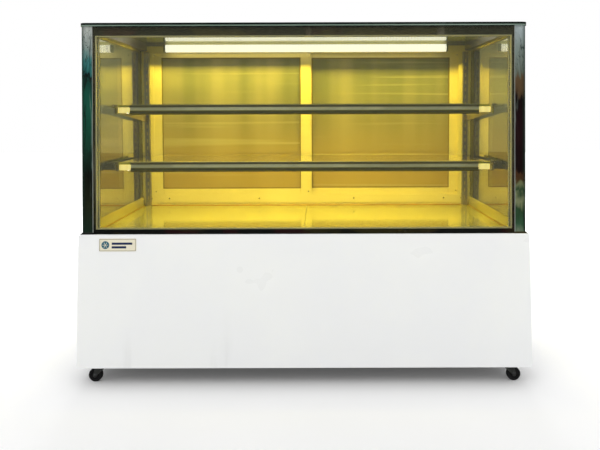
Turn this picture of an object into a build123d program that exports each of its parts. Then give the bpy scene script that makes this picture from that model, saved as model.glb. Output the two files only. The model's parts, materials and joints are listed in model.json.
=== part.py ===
"""Refrigerated bakery display case: base cabinet, glazing, lid, shelves, sliding rear doors, casters and cooling plant.

Frame: +X runs along the front to the right, +Y towards the back, +Z up. The origin is on the floor, under the middle.
"""

from build123d import *
from math import cos, radians, sin, tan
import os

os.makedirs("parts", exist_ok=True)

# ---------------------------------------------------------------- driving sizes
WIDTH = 1500
DEPTH = 700
HEIGHT = 1200
BASE_BOTTOM = 62
BASE_TOP = 498
BASE_LEAN = 5.5
FRONT_LEAN = 2.6
GLASS_STEP = 3
GLASS_INSET = 13.5
SHEET = 3
FLANGE = 20
SHOULDER_R = 7

POST_WIDTH = 35
POST_WALL = 2
GASKET = 8
PANE = 5
AIR_GAP = 9
TOP_BORDER = 30.5
BOTTOM_BORDER = 16
GLASS_TOP = 1189
LID_UNDER_THICK = 4
LID_OVERHANG = 6
LID_SIDE_OVERHANG = 8
LID_CORNER = 24

DECK_TOP = 510
DECK_SHEET = 2
DOOR_PLANE = 284
REAR_FRAME_DEPTH = 44
SILL_BOTTOM = 527
SILL_TOP = 553
HEADER_BOTTOM = 1150
HEADER_TOP = 1180
DOOR_OPENING_HALF = 640
JAMB = 25
DOOR_THICK = 16
TRACK_GROOVE = 18
TRACK_LIP = 2.5
TRACK_DEPTH = 11
STILE = 46
DOOR_OVERLAP = 20

DECK_HALF = 681

SHELF_TOPS = (728, 930)
SHELF_FRONT = -158
SHELF_BACK = 197
SHELF_GLASS_THICK = 8
RAIL_HEIGHT = 35
RAIL_HALF = 615
LIGHT_BAR_HALF = 655
BRACKET_X = 669
UPRIGHT_X = 665
UPRIGHT_W = 20
UPRIGHT_FRONT = DOOR_PLANE - 18

WHEEL_D = 45
WHEEL_WIDTH = 18
CASTER_TRAIL = 18
CASTER_X = 685
CASTER_Y = 300
AXLE_R = 4
AXLE_CLEARANCE = 0.06

# ---------------------------------------------------------------- sizes worked out from them
HALF_W = WIDTH / 2
HALF_D = DEPTH / 2
LEAN = tan(radians(FRONT_LEAN))
LEAN_DIRECTION = (0, LEAN, 1)
BODY_HALF = HALF_W - GLASS_INSET
OPENING_HALF = BODY_HALF - POST_WIDTH - GASKET
POST_INNER = BODY_HALF - POST_WIDTH
GLASS_PACK = 2 * PANE + AIR_GAP
SIDE_INNER = OPENING_HALF - 3.5
SIDE_OUTER = SIDE_INNER + GLASS_PACK
REAR_POST_INNER = DOOR_OPENING_HALF + JAMB + 25
REAR_FRAME_BACK = DOOR_PLANE + REAR_FRAME_DEPTH
GROOVE_STARTS = (DOOR_PLANE + TRACK_LIP, DOOR_PLANE + TRACK_LIP + TRACK_GROOVE + TRACK_LIP)
REAR_PANEL_BACK = HALF_D - 1.5
REAR_PANEL_FRONT = REAR_PANEL_BACK - SHEET
CEILING = GLASS_TOP - TOP_BORDER
MIRROR_SIDES = (-1, 1)


def front_y(z):
    """Y of the base's front face at height z."""
    return -HALF_D + (z - BASE_BOTTOM) * tan(radians(BASE_LEAN))


def glass_y(z):
    """Y of the front glass's outer face at height z."""
    return front_y(BASE_TOP) + GLASS_STEP + (z - BASE_TOP) * LEAN


def block(low, high, mode=Mode.ADD):
    """A box between two opposite corners, in the open part."""
    size = [b - a for a, b in zip(low, high)]
    middle = [(a + b) / 2 for a, b in zip(low, high)]
    with Locations(tuple(middle)):
        Box(*size, mode=mode)


def mirrored_blocks(low, high, mode=Mode.ADD):
    """The same box on the right and on the left of the middle plane."""
    block(low, high, mode)
    block((-high[0], low[1], low[2]), (-low[0], high[1], high[2]), mode)


def side_plate(points, x_low, x_high):
    """A plate with a Y-Z outline, between two X planes, in the open part."""
    with BuildSketch(Plane.YZ.offset(x_low)) as outline:
        with BuildLine():
            Polyline(*points, close=True)
        make_face()
    extrude(outline.sketch, amount=x_high - x_low)


def leaning_prism(points, z_low, z_high, mode=Mode.ADD):
    """An X-Y outline carried up from z_low to z_high along the front's lean, in the open part."""
    with BuildSketch(Plane.XY.offset(z_low)) as outline:
        with BuildLine():
            Polyline(*points, close=True)
        make_face()
    run = (z_high - z_low) / cos(radians(FRONT_LEAN))
    extrude(outline.sketch, amount=run, dir=LEAN_DIRECTION, mode=mode)


def round_shoulders(y_low, y_high):
    """Rounds the upper outer corners of the base cabinet's sheets, in the open part."""
    for side in MIRROR_SIDES:
        with BuildSketch(Plane.XZ.offset(-y_low)) as corner:
            with Locations((side * (HALF_W - SHOULDER_R / 2), BASE_TOP - SHOULDER_R / 2)):
                Rectangle(SHOULDER_R, SHOULDER_R)
            with Locations((side * (HALF_W - SHOULDER_R), BASE_TOP - SHOULDER_R)):
                Circle(SHOULDER_R, mode=Mode.SUBTRACT)
        extrude(corner.sketch, amount=y_low - y_high, mode=Mode.SUBTRACT)


def rod(start, direction, radius, length, mode=Mode.ADD):
    """A round bar from a point along a direction, in the open part."""
    with BuildSketch(Plane(origin=start, z_dir=direction)) as section:
        Circle(radius)
    extrude(section.sketch, amount=length, mode=mode)


def save(piece, name):
    """Labels a finished piece and writes its file."""
    piece.part.label = name
    export_step(piece.part, f"parts/{name}.step")


# ---------------------------------------------------------------- base cabinet
def base_frame():
    """Welded frame of 22 mm square tube inside the base cabinet."""
    tube = 22
    x_out = HALF_W - SHEET - 1
    front = front_y(BASE_TOP) + SHEET + 1
    back = REAR_PANEL_FRONT - 1
    bottom = BASE_BOTTOM + SHEET
    top = BASE_TOP - SHEET
    with BuildPart() as frame:
        for z in (bottom, top - tube):
            for y in (front, back - tube):
                block((-x_out, y, z), (x_out, y + tube, z + tube))
            mirrored_blocks((x_out - tube, front, z), (x_out, back, z + tube))
        for y in (front, back - tube):
            mirrored_blocks((x_out - tube, y, bottom), (x_out, y + tube, top))
        mirrored_blocks((230, front, bottom), (230 + tube, back, bottom + tube))
    save(frame, "base_frame")


def base_floor():
    """Floor sheet of the base cabinet, with air slots in two banks under the machine space."""
    with BuildPart() as floor:
        block(
            (-HALF_W + SHEET, front_y(BASE_BOTTOM + SHEET) + SHEET, BASE_BOTTOM),
            (HALF_W - SHEET, REAR_PANEL_FRONT, BASE_BOTTOM + SHEET),
        )
        with BuildSketch(Plane.XY.offset(BASE_BOTTOM)) as slots:
            for middle in (-480, 480):
                with Locations((middle, 0)):
                    with GridLocations(0, 18, 1, 12):
                        SlotOverall(150, 7)
        extrude(slots.sketch, amount=SHEET, mode=Mode.SUBTRACT)
        rod((DRAIN_X, DRAIN_Y, BASE_BOTTOM), (0, 0, 1), DRAIN_R + 0.3, SHEET, Mode.SUBTRACT)
        rod((GLAND_X, GLAND_Y, BASE_BOTTOM), (0, 0, 1), GLAND_R + 0.1, SHEET, Mode.SUBTRACT)
    save(floor, "base_floor")


def front_panel():
    """White front panel: one folded sheet that leans back, with a flange at its top and bottom."""
    low = front_y(BASE_BOTTOM)
    high = front_y(BASE_TOP)
    fold_z = BASE_TOP - SHEET
    lip_z = BASE_BOTTOM + SHEET
    points = [
        (low, BASE_BOTTOM),
        (front_y(lip_z) + SHEET, BASE_BOTTOM),
        (front_y(lip_z) + SHEET, lip_z),
        (front_y(fold_z) + SHEET, fold_z),
        (high + FLANGE, fold_z),
        (high + FLANGE, BASE_TOP),
        (high, BASE_TOP),
    ]
    with BuildPart() as panel:
        side_plate(points, -HALF_W, HALF_W)
        corners = panel.edges().filter_by(Axis.Z, tolerance=8).group_by(Axis.Y)[0]
        fillet(corners, radius=1.2)
        round_shoulders(-HALF_D, 0)
    save(panel, "front_panel")


def end_panels():
    """White end panels, each a plate with an inward flange along its top."""
    fold_z = BASE_TOP - SHEET
    behind_front = SHEET + 0.2
    flange_front = front_y(BASE_TOP) + FLANGE
    points = [
        (front_y(BASE_BOTTOM) + behind_front, BASE_BOTTOM),
        (REAR_PANEL_BACK, BASE_BOTTOM),
        (REAR_PANEL_BACK, BASE_TOP),
        (flange_front, BASE_TOP),
        (flange_front, fold_z),
        (front_y(fold_z) + behind_front, fold_z),
    ]
    with BuildPart() as panels:
        side_plate(points, HALF_W - SHEET, HALF_W)
        side_plate(points, -HALF_W, -HALF_W + SHEET)
        mirrored_blocks(
            (SIDE_INNER - 2, flange_front, fold_z),
            (HALF_W - SHEET, REAR_FRAME_BACK, BASE_TOP),
        )
        round_shoulders(-HALF_D, HALF_D)
    save(panels, "end_panels")


def rear_panel():
    """Louvred rear panel with a top flange, a window for the controls and its screw holes."""
    x_out = HALF_W - SHEET
    with BuildPart() as panel:
        block((-x_out, REAR_PANEL_FRONT, BASE_BOTTOM), (x_out, REAR_PANEL_BACK, BASE_TOP))
        block((-x_out, REAR_FRAME_BACK + 0.3, BASE_TOP - SHEET), (x_out, REAR_PANEL_FRONT, BASE_TOP))
        with BuildSketch(Plane.XZ.offset(-REAR_PANEL_BACK)) as openings:
            for middle in (-480, -300, 300):
                with Locations((middle, 230)):
                    with GridLocations(0, 20, 1, 11):
                        SlotOverall(140, 8)
            with Locations((CONTROL_X, CONTROL_Z)):
                RectangleRounded(CONTROL_W, CONTROL_H, 4)
            with Locations(*SCREW_PLACES):
                Circle(SCREW_R + 0.3)
        extrude(openings.sketch, amount=SHEET, mode=Mode.SUBTRACT)
    save(panel, "rear_grille_panel")


def panel_screws():
    """Pan-head screws that hold the rear panel to the frame."""
    with BuildPart() as screws:
        for x, z in SCREW_PLACES:
            rod((x, REAR_PANEL_BACK, z), (0, 1, 0), SCREW_R * 2, 1.5)
            rod((x, REAR_PANEL_BACK, z), (0, -1, 0), SCREW_R, SHEET + 0.8)
    save(screws, "panel_screws")


def badge_plate():
    """Blank name plate on the front panel: a rounded plate with a raised disc and a raised rim line."""
    width = 123
    height = 42
    middle_z = 464
    thick = 1.2
    face = Plane(
        origin=(-618.5, front_y(middle_z), middle_z),
        x_dir=(1, 0, 0),
        z_dir=(0, -cos(radians(BASE_LEAN)), sin(radians(BASE_LEAN))),
    )
    with BuildPart() as badge:
        with BuildSketch(face) as outline:
            RectangleRounded(width, height, 3)
        extrude(outline.sketch, amount=thick)
        with BuildSketch(face.offset(thick)) as rim:
            RectangleRounded(width - 3, height - 3, 2)
            RectangleRounded(width - 5, height - 5, 1.5, mode=Mode.SUBTRACT)
            with Locations((-width / 2 + 21, 0)):
                Circle(13)
        extrude(rim.sketch, amount=0.5)
    save(badge, "badge_plate")


# ---------------------------------------------------------------- cold well and cooling plant
WELL_X = 679
WELL_FRONT = -280
WELL_BACK = DOOR_PLANE - 4
WELL_BOTTOM = 300
WELL_WALL = 32
DRAIN_X = 120
DRAIN_Y = 150
DRAIN_R = 10
SPIGOT_END = 30
GLAND_X = 640
GLAND_Y = 290
GLAND_R = 8
CONTROL_X = 520
CONTROL_Z = 430
CONTROL_W = 210
CONTROL_H = 74
CONTROL_RECESS = 8
SCREW_R = 2.5
SCREW_PLACES = [(x, z) for x in (-730, -360, 0, 360, 730) for z in (76, 484)]
EVAPORATOR_FAN_CENTRE = (0, -180, 405)
EVAPORATOR_FAN_R = 62
FAN_SHAFT_R = 3
CONDENSER_FAN_CENTRE = (440, 215, 194)
CONDENSER_FAN_R = 92
TRAY_X = (60, 330)
TRAY_Y = (60, 230)
TRAY_Z = (88, 138)


def insulated_well():
    """Insulated well below the deck, open at the top."""
    top = DECK_TOP - DECK_SHEET
    with BuildPart() as well:
        block((-WELL_X, WELL_FRONT, WELL_BOTTOM), (WELL_X, WELL_BACK, top))
        block(
            (-WELL_X + WELL_WALL, WELL_FRONT + WELL_WALL, WELL_BOTTOM + WELL_WALL),
            (WELL_X - WELL_WALL, WELL_BACK - WELL_WALL, top),
            Mode.SUBTRACT,
        )
        rod((DRAIN_X, DRAIN_Y, WELL_BOTTOM), (0, 0, 1), DRAIN_R, WELL_WALL, Mode.SUBTRACT)
    save(well, "insulated_well")


def finned_block(low, high, pitch, tube_rows, tube_r):
    """Thin fins side by side along X on a bank of straight tubes, in the open part."""
    count = int((high[0] - low[0]) / pitch)
    for number in range(count + 1):
        x = low[0] + number * pitch
        block((x, low[1], low[2]), (x + 1, high[1], high[2]))
    middle_y = (low[1] + high[1]) / 2
    step = (high[2] - low[2]) / tube_rows
    for row in range(tube_rows):
        z = low[2] + step * (row + 0.5)
        rod((low[0] - 8, middle_y, z), (1, 0, 0), tube_r, high[0] - low[0] + 17)


def evaporator_coil():
    """Evaporator: fins on copper tubes, standing on the well's floor."""
    with BuildPart() as coil:
        finned_block((-330, -20, 340), (330, 60, 470), 15, 4, 5)
    save(coil, "evaporator_coil")


def fan_ring(centre, radius, wall, length, square):
    """Plate with a round mouth, and a motor boss with its shaft on three arms, in the open part."""
    x, y, z = centre
    half = square / 2
    back = y + length / 2
    block((x - half, y - length / 2, z - half), (x + half, back, z + half))
    rod((x, y - length / 2, z), (0, 1, 0), radius + wall, length, Mode.SUBTRACT)
    rod((x, back, z), (0, 1, 0), radius * 0.3, 26)
    rod((x, back, z), (0, -1, 0), FAN_SHAFT_R, length - 1)
    for turn in range(3):
        angle = radians(90 + 120 * turn)
        reach = (cos(angle), 0, sin(angle))
        rod((x, back + 5, z), reach, 3.5, radius + wall + 3)
    with BuildSketch(Plane((x, back, z), z_dir=(0, 1, 0))) as collar:
        Circle(radius + wall + 6)
        Circle(radius + wall, mode=Mode.SUBTRACT)
    extrude(collar.sketch, amount=9)


def fan_blades(centre, radius, blades, length):
    """Hub, bored for the motor shaft, with blades set at an angle, in the open part."""
    x, y, z = centre
    hub = radius * 0.28
    rod((x, y - length / 2, z), (0, 1, 0), hub, length)
    for number in range(blades):
        angle = 360 / blades * number
        blade_plane = Plane((x, y, z)).rotated((0, angle, 0)).offset(hub * 0.8)
        with BuildSketch(blade_plane) as root:
            with Locations(Rotation(0, 0, 35)):
                Rectangle(radius * 0.55, 2.4)
        extrude(root.sketch, amount=radius - hub * 0.8 - 3)
    rod((x, y - length, z), (0, 1, 0), FAN_SHAFT_R + AXLE_CLEARANCE, 2 * length, Mode.SUBTRACT)


def evaporator_fan():
    """Fan that drives cold air from the evaporator up into the case, and its ring plate."""
    with BuildPart() as ring:
        fan_ring(EVAPORATOR_FAN_CENTRE, EVAPORATOR_FAN_R, 3, 24, 142)
    save(ring, "evaporator_fan_ring")
    with BuildPart() as blades:
        fan_blades(EVAPORATOR_FAN_CENTRE, EVAPORATOR_FAN_R, 5, 20)
    save(blades, "evaporator_fan")


def condenser():
    """Condenser coil at the back, with its fan and shroud in front of it."""
    x, y, z = CONDENSER_FAN_CENTRE
    with BuildPart() as coil:
        finned_block((x - 130, 262, 95), (x + 130, 318, 290), 13, 6, 4.5)
    save(coil, "condenser_coil")
    with BuildPart() as shroud:
        fan_ring(CONDENSER_FAN_CENTRE, CONDENSER_FAN_R, 4, 30, 208)
    save(shroud, "condenser_fan_shroud")
    with BuildPart() as blades:
        fan_blades(CONDENSER_FAN_CENTRE, CONDENSER_FAN_R, 4, 26)
    save(blades, "condenser_fan")


def compressor():
    """Hermetic compressor: domed pot on a base plate with four rubber-footed ears."""
    x = -420
    y = 120
    floor_z = BASE_BOTTOM + SHEET + 22
    with BuildPart() as pot:
        with Locations((x, y, floor_z + 110)):
            Cylinder(78, 145)
        fillet(pot.edges().filter_by(GeomType.CIRCLE), radius=30)
        block((x - 105, y - 75, floor_z), (x + 105, y + 75, floor_z + 4))
        with Locations((x, y, floor_z + 20)):
            with GridLocations(170, 110, 2, 2):
                Cylinder(11, 32)
        block((x - 98, y - 66, floor_z + 34), (x + 98, y + 66, floor_z + 38))
        rod((x, y, floor_z + 130), (1, 0, 0), 6, 96)
        block((x - 100, y - 20, floor_z + 90), (x - 70, y + 20, floor_z + 140))
    save(pot, "compressor")


def pipe(points, bend, radius):
    """Round pipe along straight runs joined by arcs, in the open part."""
    with BuildLine(mode=Mode.PRIVATE) as route:
        FilletPolyline(*points, radius=bend)
    start = route.line @ 0
    heading = route.line % 0
    with BuildSketch(Plane(origin=start, z_dir=heading)) as section:
        Circle(radius)
    sweep(section.sketch, path=route.line)


def refrigerant_lines():
    """Copper discharge, liquid and suction pipes, with the filter drier in the liquid line."""
    with BuildPart() as lines:
        pipe([(-322, 120, 217), (-220, 120, 217), (-220, 30, 217), (285, 30, 217), (285, 290, 217)], 25, 4)
        pipe([(285, 300, 110), (30, 300, 110), (30, 300, 250), (-180, 300, 250)], 25, 3)
        rod((-180, 300, 250), (-1, 0, 0), 11, 90)
        pipe([(-270, 300, 250), (-340, 300, 250), (-340, 240, 250), (-340, 240, 296)], 20, 3)
    save(lines, "refrigerant_lines")


def condensate_tray():
    """Evaporating tray under the well's drain, open at the top, with the drain hose's stub above it."""
    with BuildPart() as tray:
        block((TRAY_X[0], TRAY_Y[0], TRAY_Z[0]), (TRAY_X[1], TRAY_Y[1], TRAY_Z[1]))
        block(
            (TRAY_X[0] + 2, TRAY_Y[0] + 2, TRAY_Z[0] + 2),
            (TRAY_X[1] - 2, TRAY_Y[1] - 2, TRAY_Z[1]),
            Mode.SUBTRACT,
        )
        rod((DRAIN_X, DRAIN_Y, TRAY_Z[0]), (0, 0, 1), DRAIN_R - 2, 2, Mode.SUBTRACT)
    save(tray, "condensate_tray")


def drain_spigot():
    """Overflow spigot: a hollow stub below the base floor, from a flange under the tray."""
    with BuildPart() as spigot:
        rod((DRAIN_X, DRAIN_Y, SPIGOT_END), (0, 0, 1), DRAIN_R, BASE_BOTTOM - SPIGOT_END)
        rod((DRAIN_X, DRAIN_Y, BASE_BOTTOM), (0, 0, 1), DRAIN_R - 0.5, TRAY_Z[0] - BASE_BOTTOM)
        rod((DRAIN_X, DRAIN_Y, TRAY_Z[0] - 3), (0, 0, 1), DRAIN_R + 8, 3)
        rod((DRAIN_X, DRAIN_Y, SPIGOT_END), (0, 0, 1), DRAIN_R - 2, TRAY_Z[0] - SPIGOT_END, Mode.SUBTRACT)
    save(spigot, "drain_spigot")


def control_panel():
    """Recessed control panel at the back: box, face with bezel windows for the display and the two rockers."""
    face_y = REAR_PANEL_BACK - CONTROL_RECESS
    half_w = CONTROL_W / 2 - 0.5
    half_h = CONTROL_H / 2 - 0.5
    with BuildPart() as panel:
        block(
            (CONTROL_X - half_w, face_y - 55, CONTROL_Z - half_h),
            (CONTROL_X + half_w, face_y, CONTROL_Z + half_h),
        )
        with BuildSketch(Plane.XZ.offset(-face_y)) as window:
            with Locations((CONTROL_X + 45, CONTROL_Z)):
                RectangleRounded(84, 42, 3)
        extrude(window.sketch, amount=1.5, mode=Mode.SUBTRACT)
        for x in SWITCH_X:
            block(
                (x - SWITCH_W / 2, face_y - 26, CONTROL_Z - SWITCH_H / 2),
                (x + SWITCH_W / 2, face_y, CONTROL_Z + SWITCH_H / 2),
                Mode.SUBTRACT,
            )
        for x in SWITCH_X:
            rod((x - SWITCH_W / 2, face_y - 10, CONTROL_Z), (-1, 0, 0), SWITCH_PIVOT_R, 4, Mode.SUBTRACT)
            rod((x + SWITCH_W / 2, face_y - 10, CONTROL_Z), (1, 0, 0), SWITCH_PIVOT_R, 4, Mode.SUBTRACT)
    save(panel, "control_panel")


SWITCH_X = (CONTROL_X - 78, CONTROL_X - 38)
SWITCH_W = 24
SWITCH_H = 34
SWITCH_PIVOT_R = 2.05
SWITCH_TILT = 10


def rocker_switch(x, name):
    """Rocker with a shallow V face on two pivot pins. At rest its upper half is flush."""
    face_y = REAR_PANEL_BACK - CONTROL_RECESS
    half = SWITCH_H / 2 - 2.5
    rise = half * tan(radians(SWITCH_TILT))
    points = [
        (face_y + 1, CONTROL_Z + half),
        (face_y + 1.5, CONTROL_Z),
        (face_y + 1 + rise, CONTROL_Z - half),
        (face_y - 8, CONTROL_Z - half + 2),
        (face_y - 13, CONTROL_Z),
        (face_y - 8, CONTROL_Z + half - 2),
    ]
    with BuildPart() as rocker:
        side_plate(points, x - SWITCH_W / 2 + 0.8, x + SWITCH_W / 2 - 0.8)
        pin_r = SWITCH_PIVOT_R - 0.05
        rod((x - SWITCH_W / 2 - 3, face_y - 10, CONTROL_Z), (1, 0, 0), pin_r, SWITCH_W + 6)
    save(rocker, name)


def mains_gland():
    """Cable gland in the base floor: hexagon nut, threaded neck and rounded cap."""
    with BuildPart() as gland:
        with BuildSketch(Plane.XY.offset(BASE_BOTTOM - 5)) as nut:
            with Locations((GLAND_X, GLAND_Y)):
                RegularPolygon(13, 6)
        extrude(nut.sketch, amount=5)
        rod((GLAND_X, GLAND_Y, BASE_BOTTOM), (0, 0, 1), GLAND_R, 14)
        rod((GLAND_X, GLAND_Y, BASE_BOTTOM - 17), (0, 0, 1), GLAND_R + 2, 12)
        rod((GLAND_X, GLAND_Y, BASE_BOTTOM - 17), (0, 0, 1), 4, 31, Mode.SUBTRACT)
    save(gland, "mains_gland")


# ---------------------------------------------------------------- posts, glazing and lid
def front_posts():
    """Polished corner posts: square tubes that lean with the front."""
    low = BASE_TOP
    y0 = glass_y(low)
    with BuildPart() as posts:
        for shrink, mode in ((0, Mode.ADD), (POST_WALL, Mode.SUBTRACT)):
            for side in MIRROR_SIDES:
                near = y0 + shrink
                far = y0 + POST_WIDTH - shrink
                inner = side * (POST_INNER + shrink)
                outer = side * (BODY_HALF - shrink)
                section = [(inner, near), (outer, near), (outer, far), (inner, far)]
                leaning_prism(section, low, GLASS_TOP, mode)
    save(posts, "front_posts")


def rear_posts():
    """Rear corner posts: box section, hollow."""
    wall = 2
    with BuildPart() as posts:
        mirrored_blocks((REAR_POST_INNER, DOOR_PLANE, BASE_TOP), (BODY_HALF, REAR_FRAME_BACK, GLASS_TOP))
        mirrored_blocks(
            (REAR_POST_INNER + wall, DOOR_PLANE + wall, BASE_TOP),
            (BODY_HALF - wall, REAR_FRAME_BACK - wall, GLASS_TOP),
            Mode.SUBTRACT,
        )
    save(posts, "rear_posts")


def front_glass():
    """Double front glass between the posts: two panes and the black border between them."""
    low = BASE_TOP
    half = POST_INNER - 0.2
    y0 = glass_y(low)
    for name, start in (("front_glass_outer", 0), ("front_glass_inner", PANE + AIR_GAP)):
        near = y0 + start
        far = near + PANE
        with BuildPart() as pane:
            leaning_prism([(-half, near), (half, near), (half, far), (-half, far)], low, GLASS_TOP)
        save(pane, name)
    near = y0 + PANE
    far = near + AIR_GAP
    bottom_bar = BASE_TOP + BOTTOM_BORDER
    with BuildPart() as border:
        for z_low, z_high in ((low, bottom_bar), (CEILING, GLASS_TOP)):
            shift = (z_low - low) * LEAN
            a = near + shift
            b = far + shift
            leaning_prism([(-half, a), (half, a), (half, b), (-half, b)], z_low, z_high)
        shift = (bottom_bar - low) * LEAN
        a = near + shift
        b = far + shift
        for side in MIRROR_SIDES:
            inner = side * OPENING_HALF
            outer = side * half
            leaning_prism([(inner, a), (outer, a), (outer, b), (inner, b)], bottom_bar, CEILING)
    save(border, "front_glass_border")


def side_outline(front_gap, back, low, high):
    """Y-Z outline of a side pane or border, parallel to the leaning front edge."""
    return [
        (glass_y(low) + front_gap, low),
        (back, low),
        (back, high),
        (glass_y(high) + front_gap, high),
    ]


def side_glass():
    """Double side glasses, each two panes, and the black border bars between the panes."""
    low = BASE_TOP
    high = GLASS_TOP
    back = DOOR_PLANE
    behind_glass = GLASS_PACK + 0.3
    behind_post = POST_WIDTH + 0.3
    panes = ((SIDE_INNER, SIDE_INNER + PANE, behind_glass), (SIDE_OUTER - PANE, SIDE_OUTER, behind_post))
    for name, side in (("left_side_glass", -1), ("right_side_glass", 1)):
        with BuildPart() as glass:
            for x_low, x_high, gap in panes:
                ends = sorted((side * x_low, side * x_high))
                side_plate(side_outline(gap, back, low, high), ends[0], ends[1])
        save(glass, name)
    bar = 14
    cavity = (SIDE_INNER + PANE, SIDE_OUTER - PANE)
    with BuildPart() as borders:
        for side in MIRROR_SIDES:
            ends = sorted((side * cavity[0], side * cavity[1]))
            side_plate(side_outline(behind_post, back, low, low + bar), ends[0], ends[1])
            side_plate(side_outline(behind_post, back, CEILING, high), ends[0], ends[1])
            upright_front = [
                (glass_y(low + bar) + behind_post, low + bar),
                (glass_y(low + bar) + behind_post + bar, low + bar),
                (glass_y(CEILING) + behind_post + bar, CEILING),
                (glass_y(CEILING) + behind_post, CEILING),
            ]
            side_plate(upright_front, ends[0], ends[1])
            rear_bar = [(back - bar, low + bar), (back, low + bar), (back, CEILING), (back - bar, CEILING)]
            side_plate(rear_bar, ends[0], ends[1])
    save(borders, "side_glass_borders")


def canopy_frame():
    """Ceiling bars under the lid: front, two sides and back."""
    bar = 24
    half = SIDE_INNER - 0.2
    front = glass_y(GLASS_TOP) + GLASS_PACK + 0.3
    with BuildPart() as canopy:
        block((-half, front, CEILING), (half, front + bar, GLASS_TOP))
        mirrored_blocks((half - bar, front + bar + 0.2, CEILING), (half, DOOR_PLANE - 0.2, GLASS_TOP))
        block(
            (-REAR_POST_INNER, DOOR_PLANE, HEADER_TOP),
            (REAR_POST_INNER, REAR_FRAME_BACK, GLASS_TOP),
        )
    save(canopy, "canopy_frame")


def lid():
    """Lid of two glass plates with rounded front corners."""
    front = glass_y(GLASS_TOP) - LID_OVERHANG
    back = REAR_FRAME_BACK + 4
    half = BODY_HALF + LID_SIDE_OVERHANG
    split = GLASS_TOP + LID_UNDER_THICK
    for name, z_low, z_high in (("lid_under_glass", GLASS_TOP, split), ("lid_glass", split, HEIGHT)):
        with BuildPart() as plate:
            with BuildSketch(Plane.XY.offset(z_low)) as outline:
                with Locations((0, (front + back) / 2)):
                    Rectangle(2 * half, back - front)
                fillet(outline.vertices().group_by(Axis.Y)[0], LID_CORNER)
                fillet(outline.vertices().group_by(Axis.Y)[-1], 8)
            extrude(outline.sketch, amount=z_high - z_low)
        save(plate, name)


# ---------------------------------------------------------------- deck and coaming
def deck_panels():
    """Deck in two panels with a seam in the middle, notched round the shelf uprights."""
    front = glass_y(DECK_TOP) + GLASS_PACK + 0.5
    z = DECK_TOP - DECK_SHEET
    with BuildPart() as panels:
        mirrored_blocks((0.6, front, z), (DECK_HALF, DOOR_PLANE, DECK_TOP))
        mirrored_blocks(
            (UPRIGHT_X - UPRIGHT_W / 2 - 0.4, UPRIGHT_FRONT - 0.4, z),
            (UPRIGHT_X + UPRIGHT_W / 2 + 0.4, DOOR_PLANE, DECK_TOP),
            Mode.SUBTRACT,
        )
    save(panels, "deck_panels")


def side_coamings():
    """Sloping coaming strip along the foot of each side glass."""
    top = 547
    front_low = glass_y(top) + GLASS_PACK + 0.5
    with BuildPart() as strips:
        for side in MIRROR_SIDES:
            back_x = side * (SIDE_INNER - 0.2)
            foot_x = side * (DECK_HALF + 3)
            points = [
                (foot_x, DECK_TOP - 6),
                (back_x, DECK_TOP - 6),
                (back_x, top),
                (back_x - side * 1.6, top),
                (foot_x, DECK_TOP + 4),
            ]
            with BuildSketch(Plane.XZ.offset(-front_low)) as section:
                with BuildLine():
                    Polyline(*points, close=True)
                make_face()
            extrude(section.sketch, amount=-(DOOR_PLANE - front_low))
    save(strips, "side_coamings")


# ---------------------------------------------------------------- ceiling light
def ceiling_light():
    """Light batten along the back of the ceiling with its tube cover below and in front."""
    half = 585
    with BuildPart() as batten:
        block((-half, DOOR_PLANE - 26, 1162), (half, DOOR_PLANE - 4, GLASS_TOP))
    save(batten, "light_batten")
    with BuildPart() as cover:
        with BuildSketch(Plane.YZ.offset(-half + 8)) as section:
            with Locations((DOOR_PLANE - 40, 1166)):
                RectangleRounded(27, 30, 11)
        extrude(section.sketch, amount=2 * half - 16)
    save(cover, "light_tube")


# ---------------------------------------------------------------- rear frame and doors
def rear_sill_beam():
    """Insulated beam under the sliding doors, with a row of air return slots in its lower front."""
    with BuildPart() as beam:
        block((-REAR_POST_INNER, DOOR_PLANE, BASE_TOP), (REAR_POST_INNER, REAR_FRAME_BACK, SILL_BOTTOM))
        with BuildSketch(Plane.XZ.offset(-DOOR_PLANE)) as slots:
            with Locations((0, DECK_TOP + 8.5)):
                with GridLocations(46, 0, 28, 1):
                    SlotOverall(38, 6)
        extrude(slots.sketch, amount=-8, mode=Mode.SUBTRACT)
    save(beam, "rear_sill_beam")


def door_surround():
    """Header track, sill track and the two jambs, each a bar with a groove for each door."""
    half = REAR_POST_INNER
    inner = DOOR_OPENING_HALF
    with BuildPart() as surround:
        block((-half, DOOR_PLANE, SILL_BOTTOM), (half, REAR_FRAME_BACK, SILL_TOP))
        block((-half, DOOR_PLANE, HEADER_BOTTOM), (half, REAR_FRAME_BACK, HEADER_TOP))
        mirrored_blocks((inner, DOOR_PLANE, SILL_TOP + 0.2), (half, REAR_FRAME_BACK, HEADER_BOTTOM - 0.2))
        for start in GROOVE_STARTS:
            end = start + TRACK_GROOVE
            cut_half = inner + TRACK_DEPTH
            block((-cut_half, start, SILL_TOP - TRACK_DEPTH), (cut_half, end, SILL_TOP), Mode.SUBTRACT)
            block((-cut_half, start, HEADER_BOTTOM), (cut_half, end, HEADER_BOTTOM + 16), Mode.SUBTRACT)
            mirrored_blocks((inner, start, SILL_TOP), (cut_half, end, HEADER_BOTTOM), Mode.SUBTRACT)
    save(surround, "door_surround")


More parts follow.
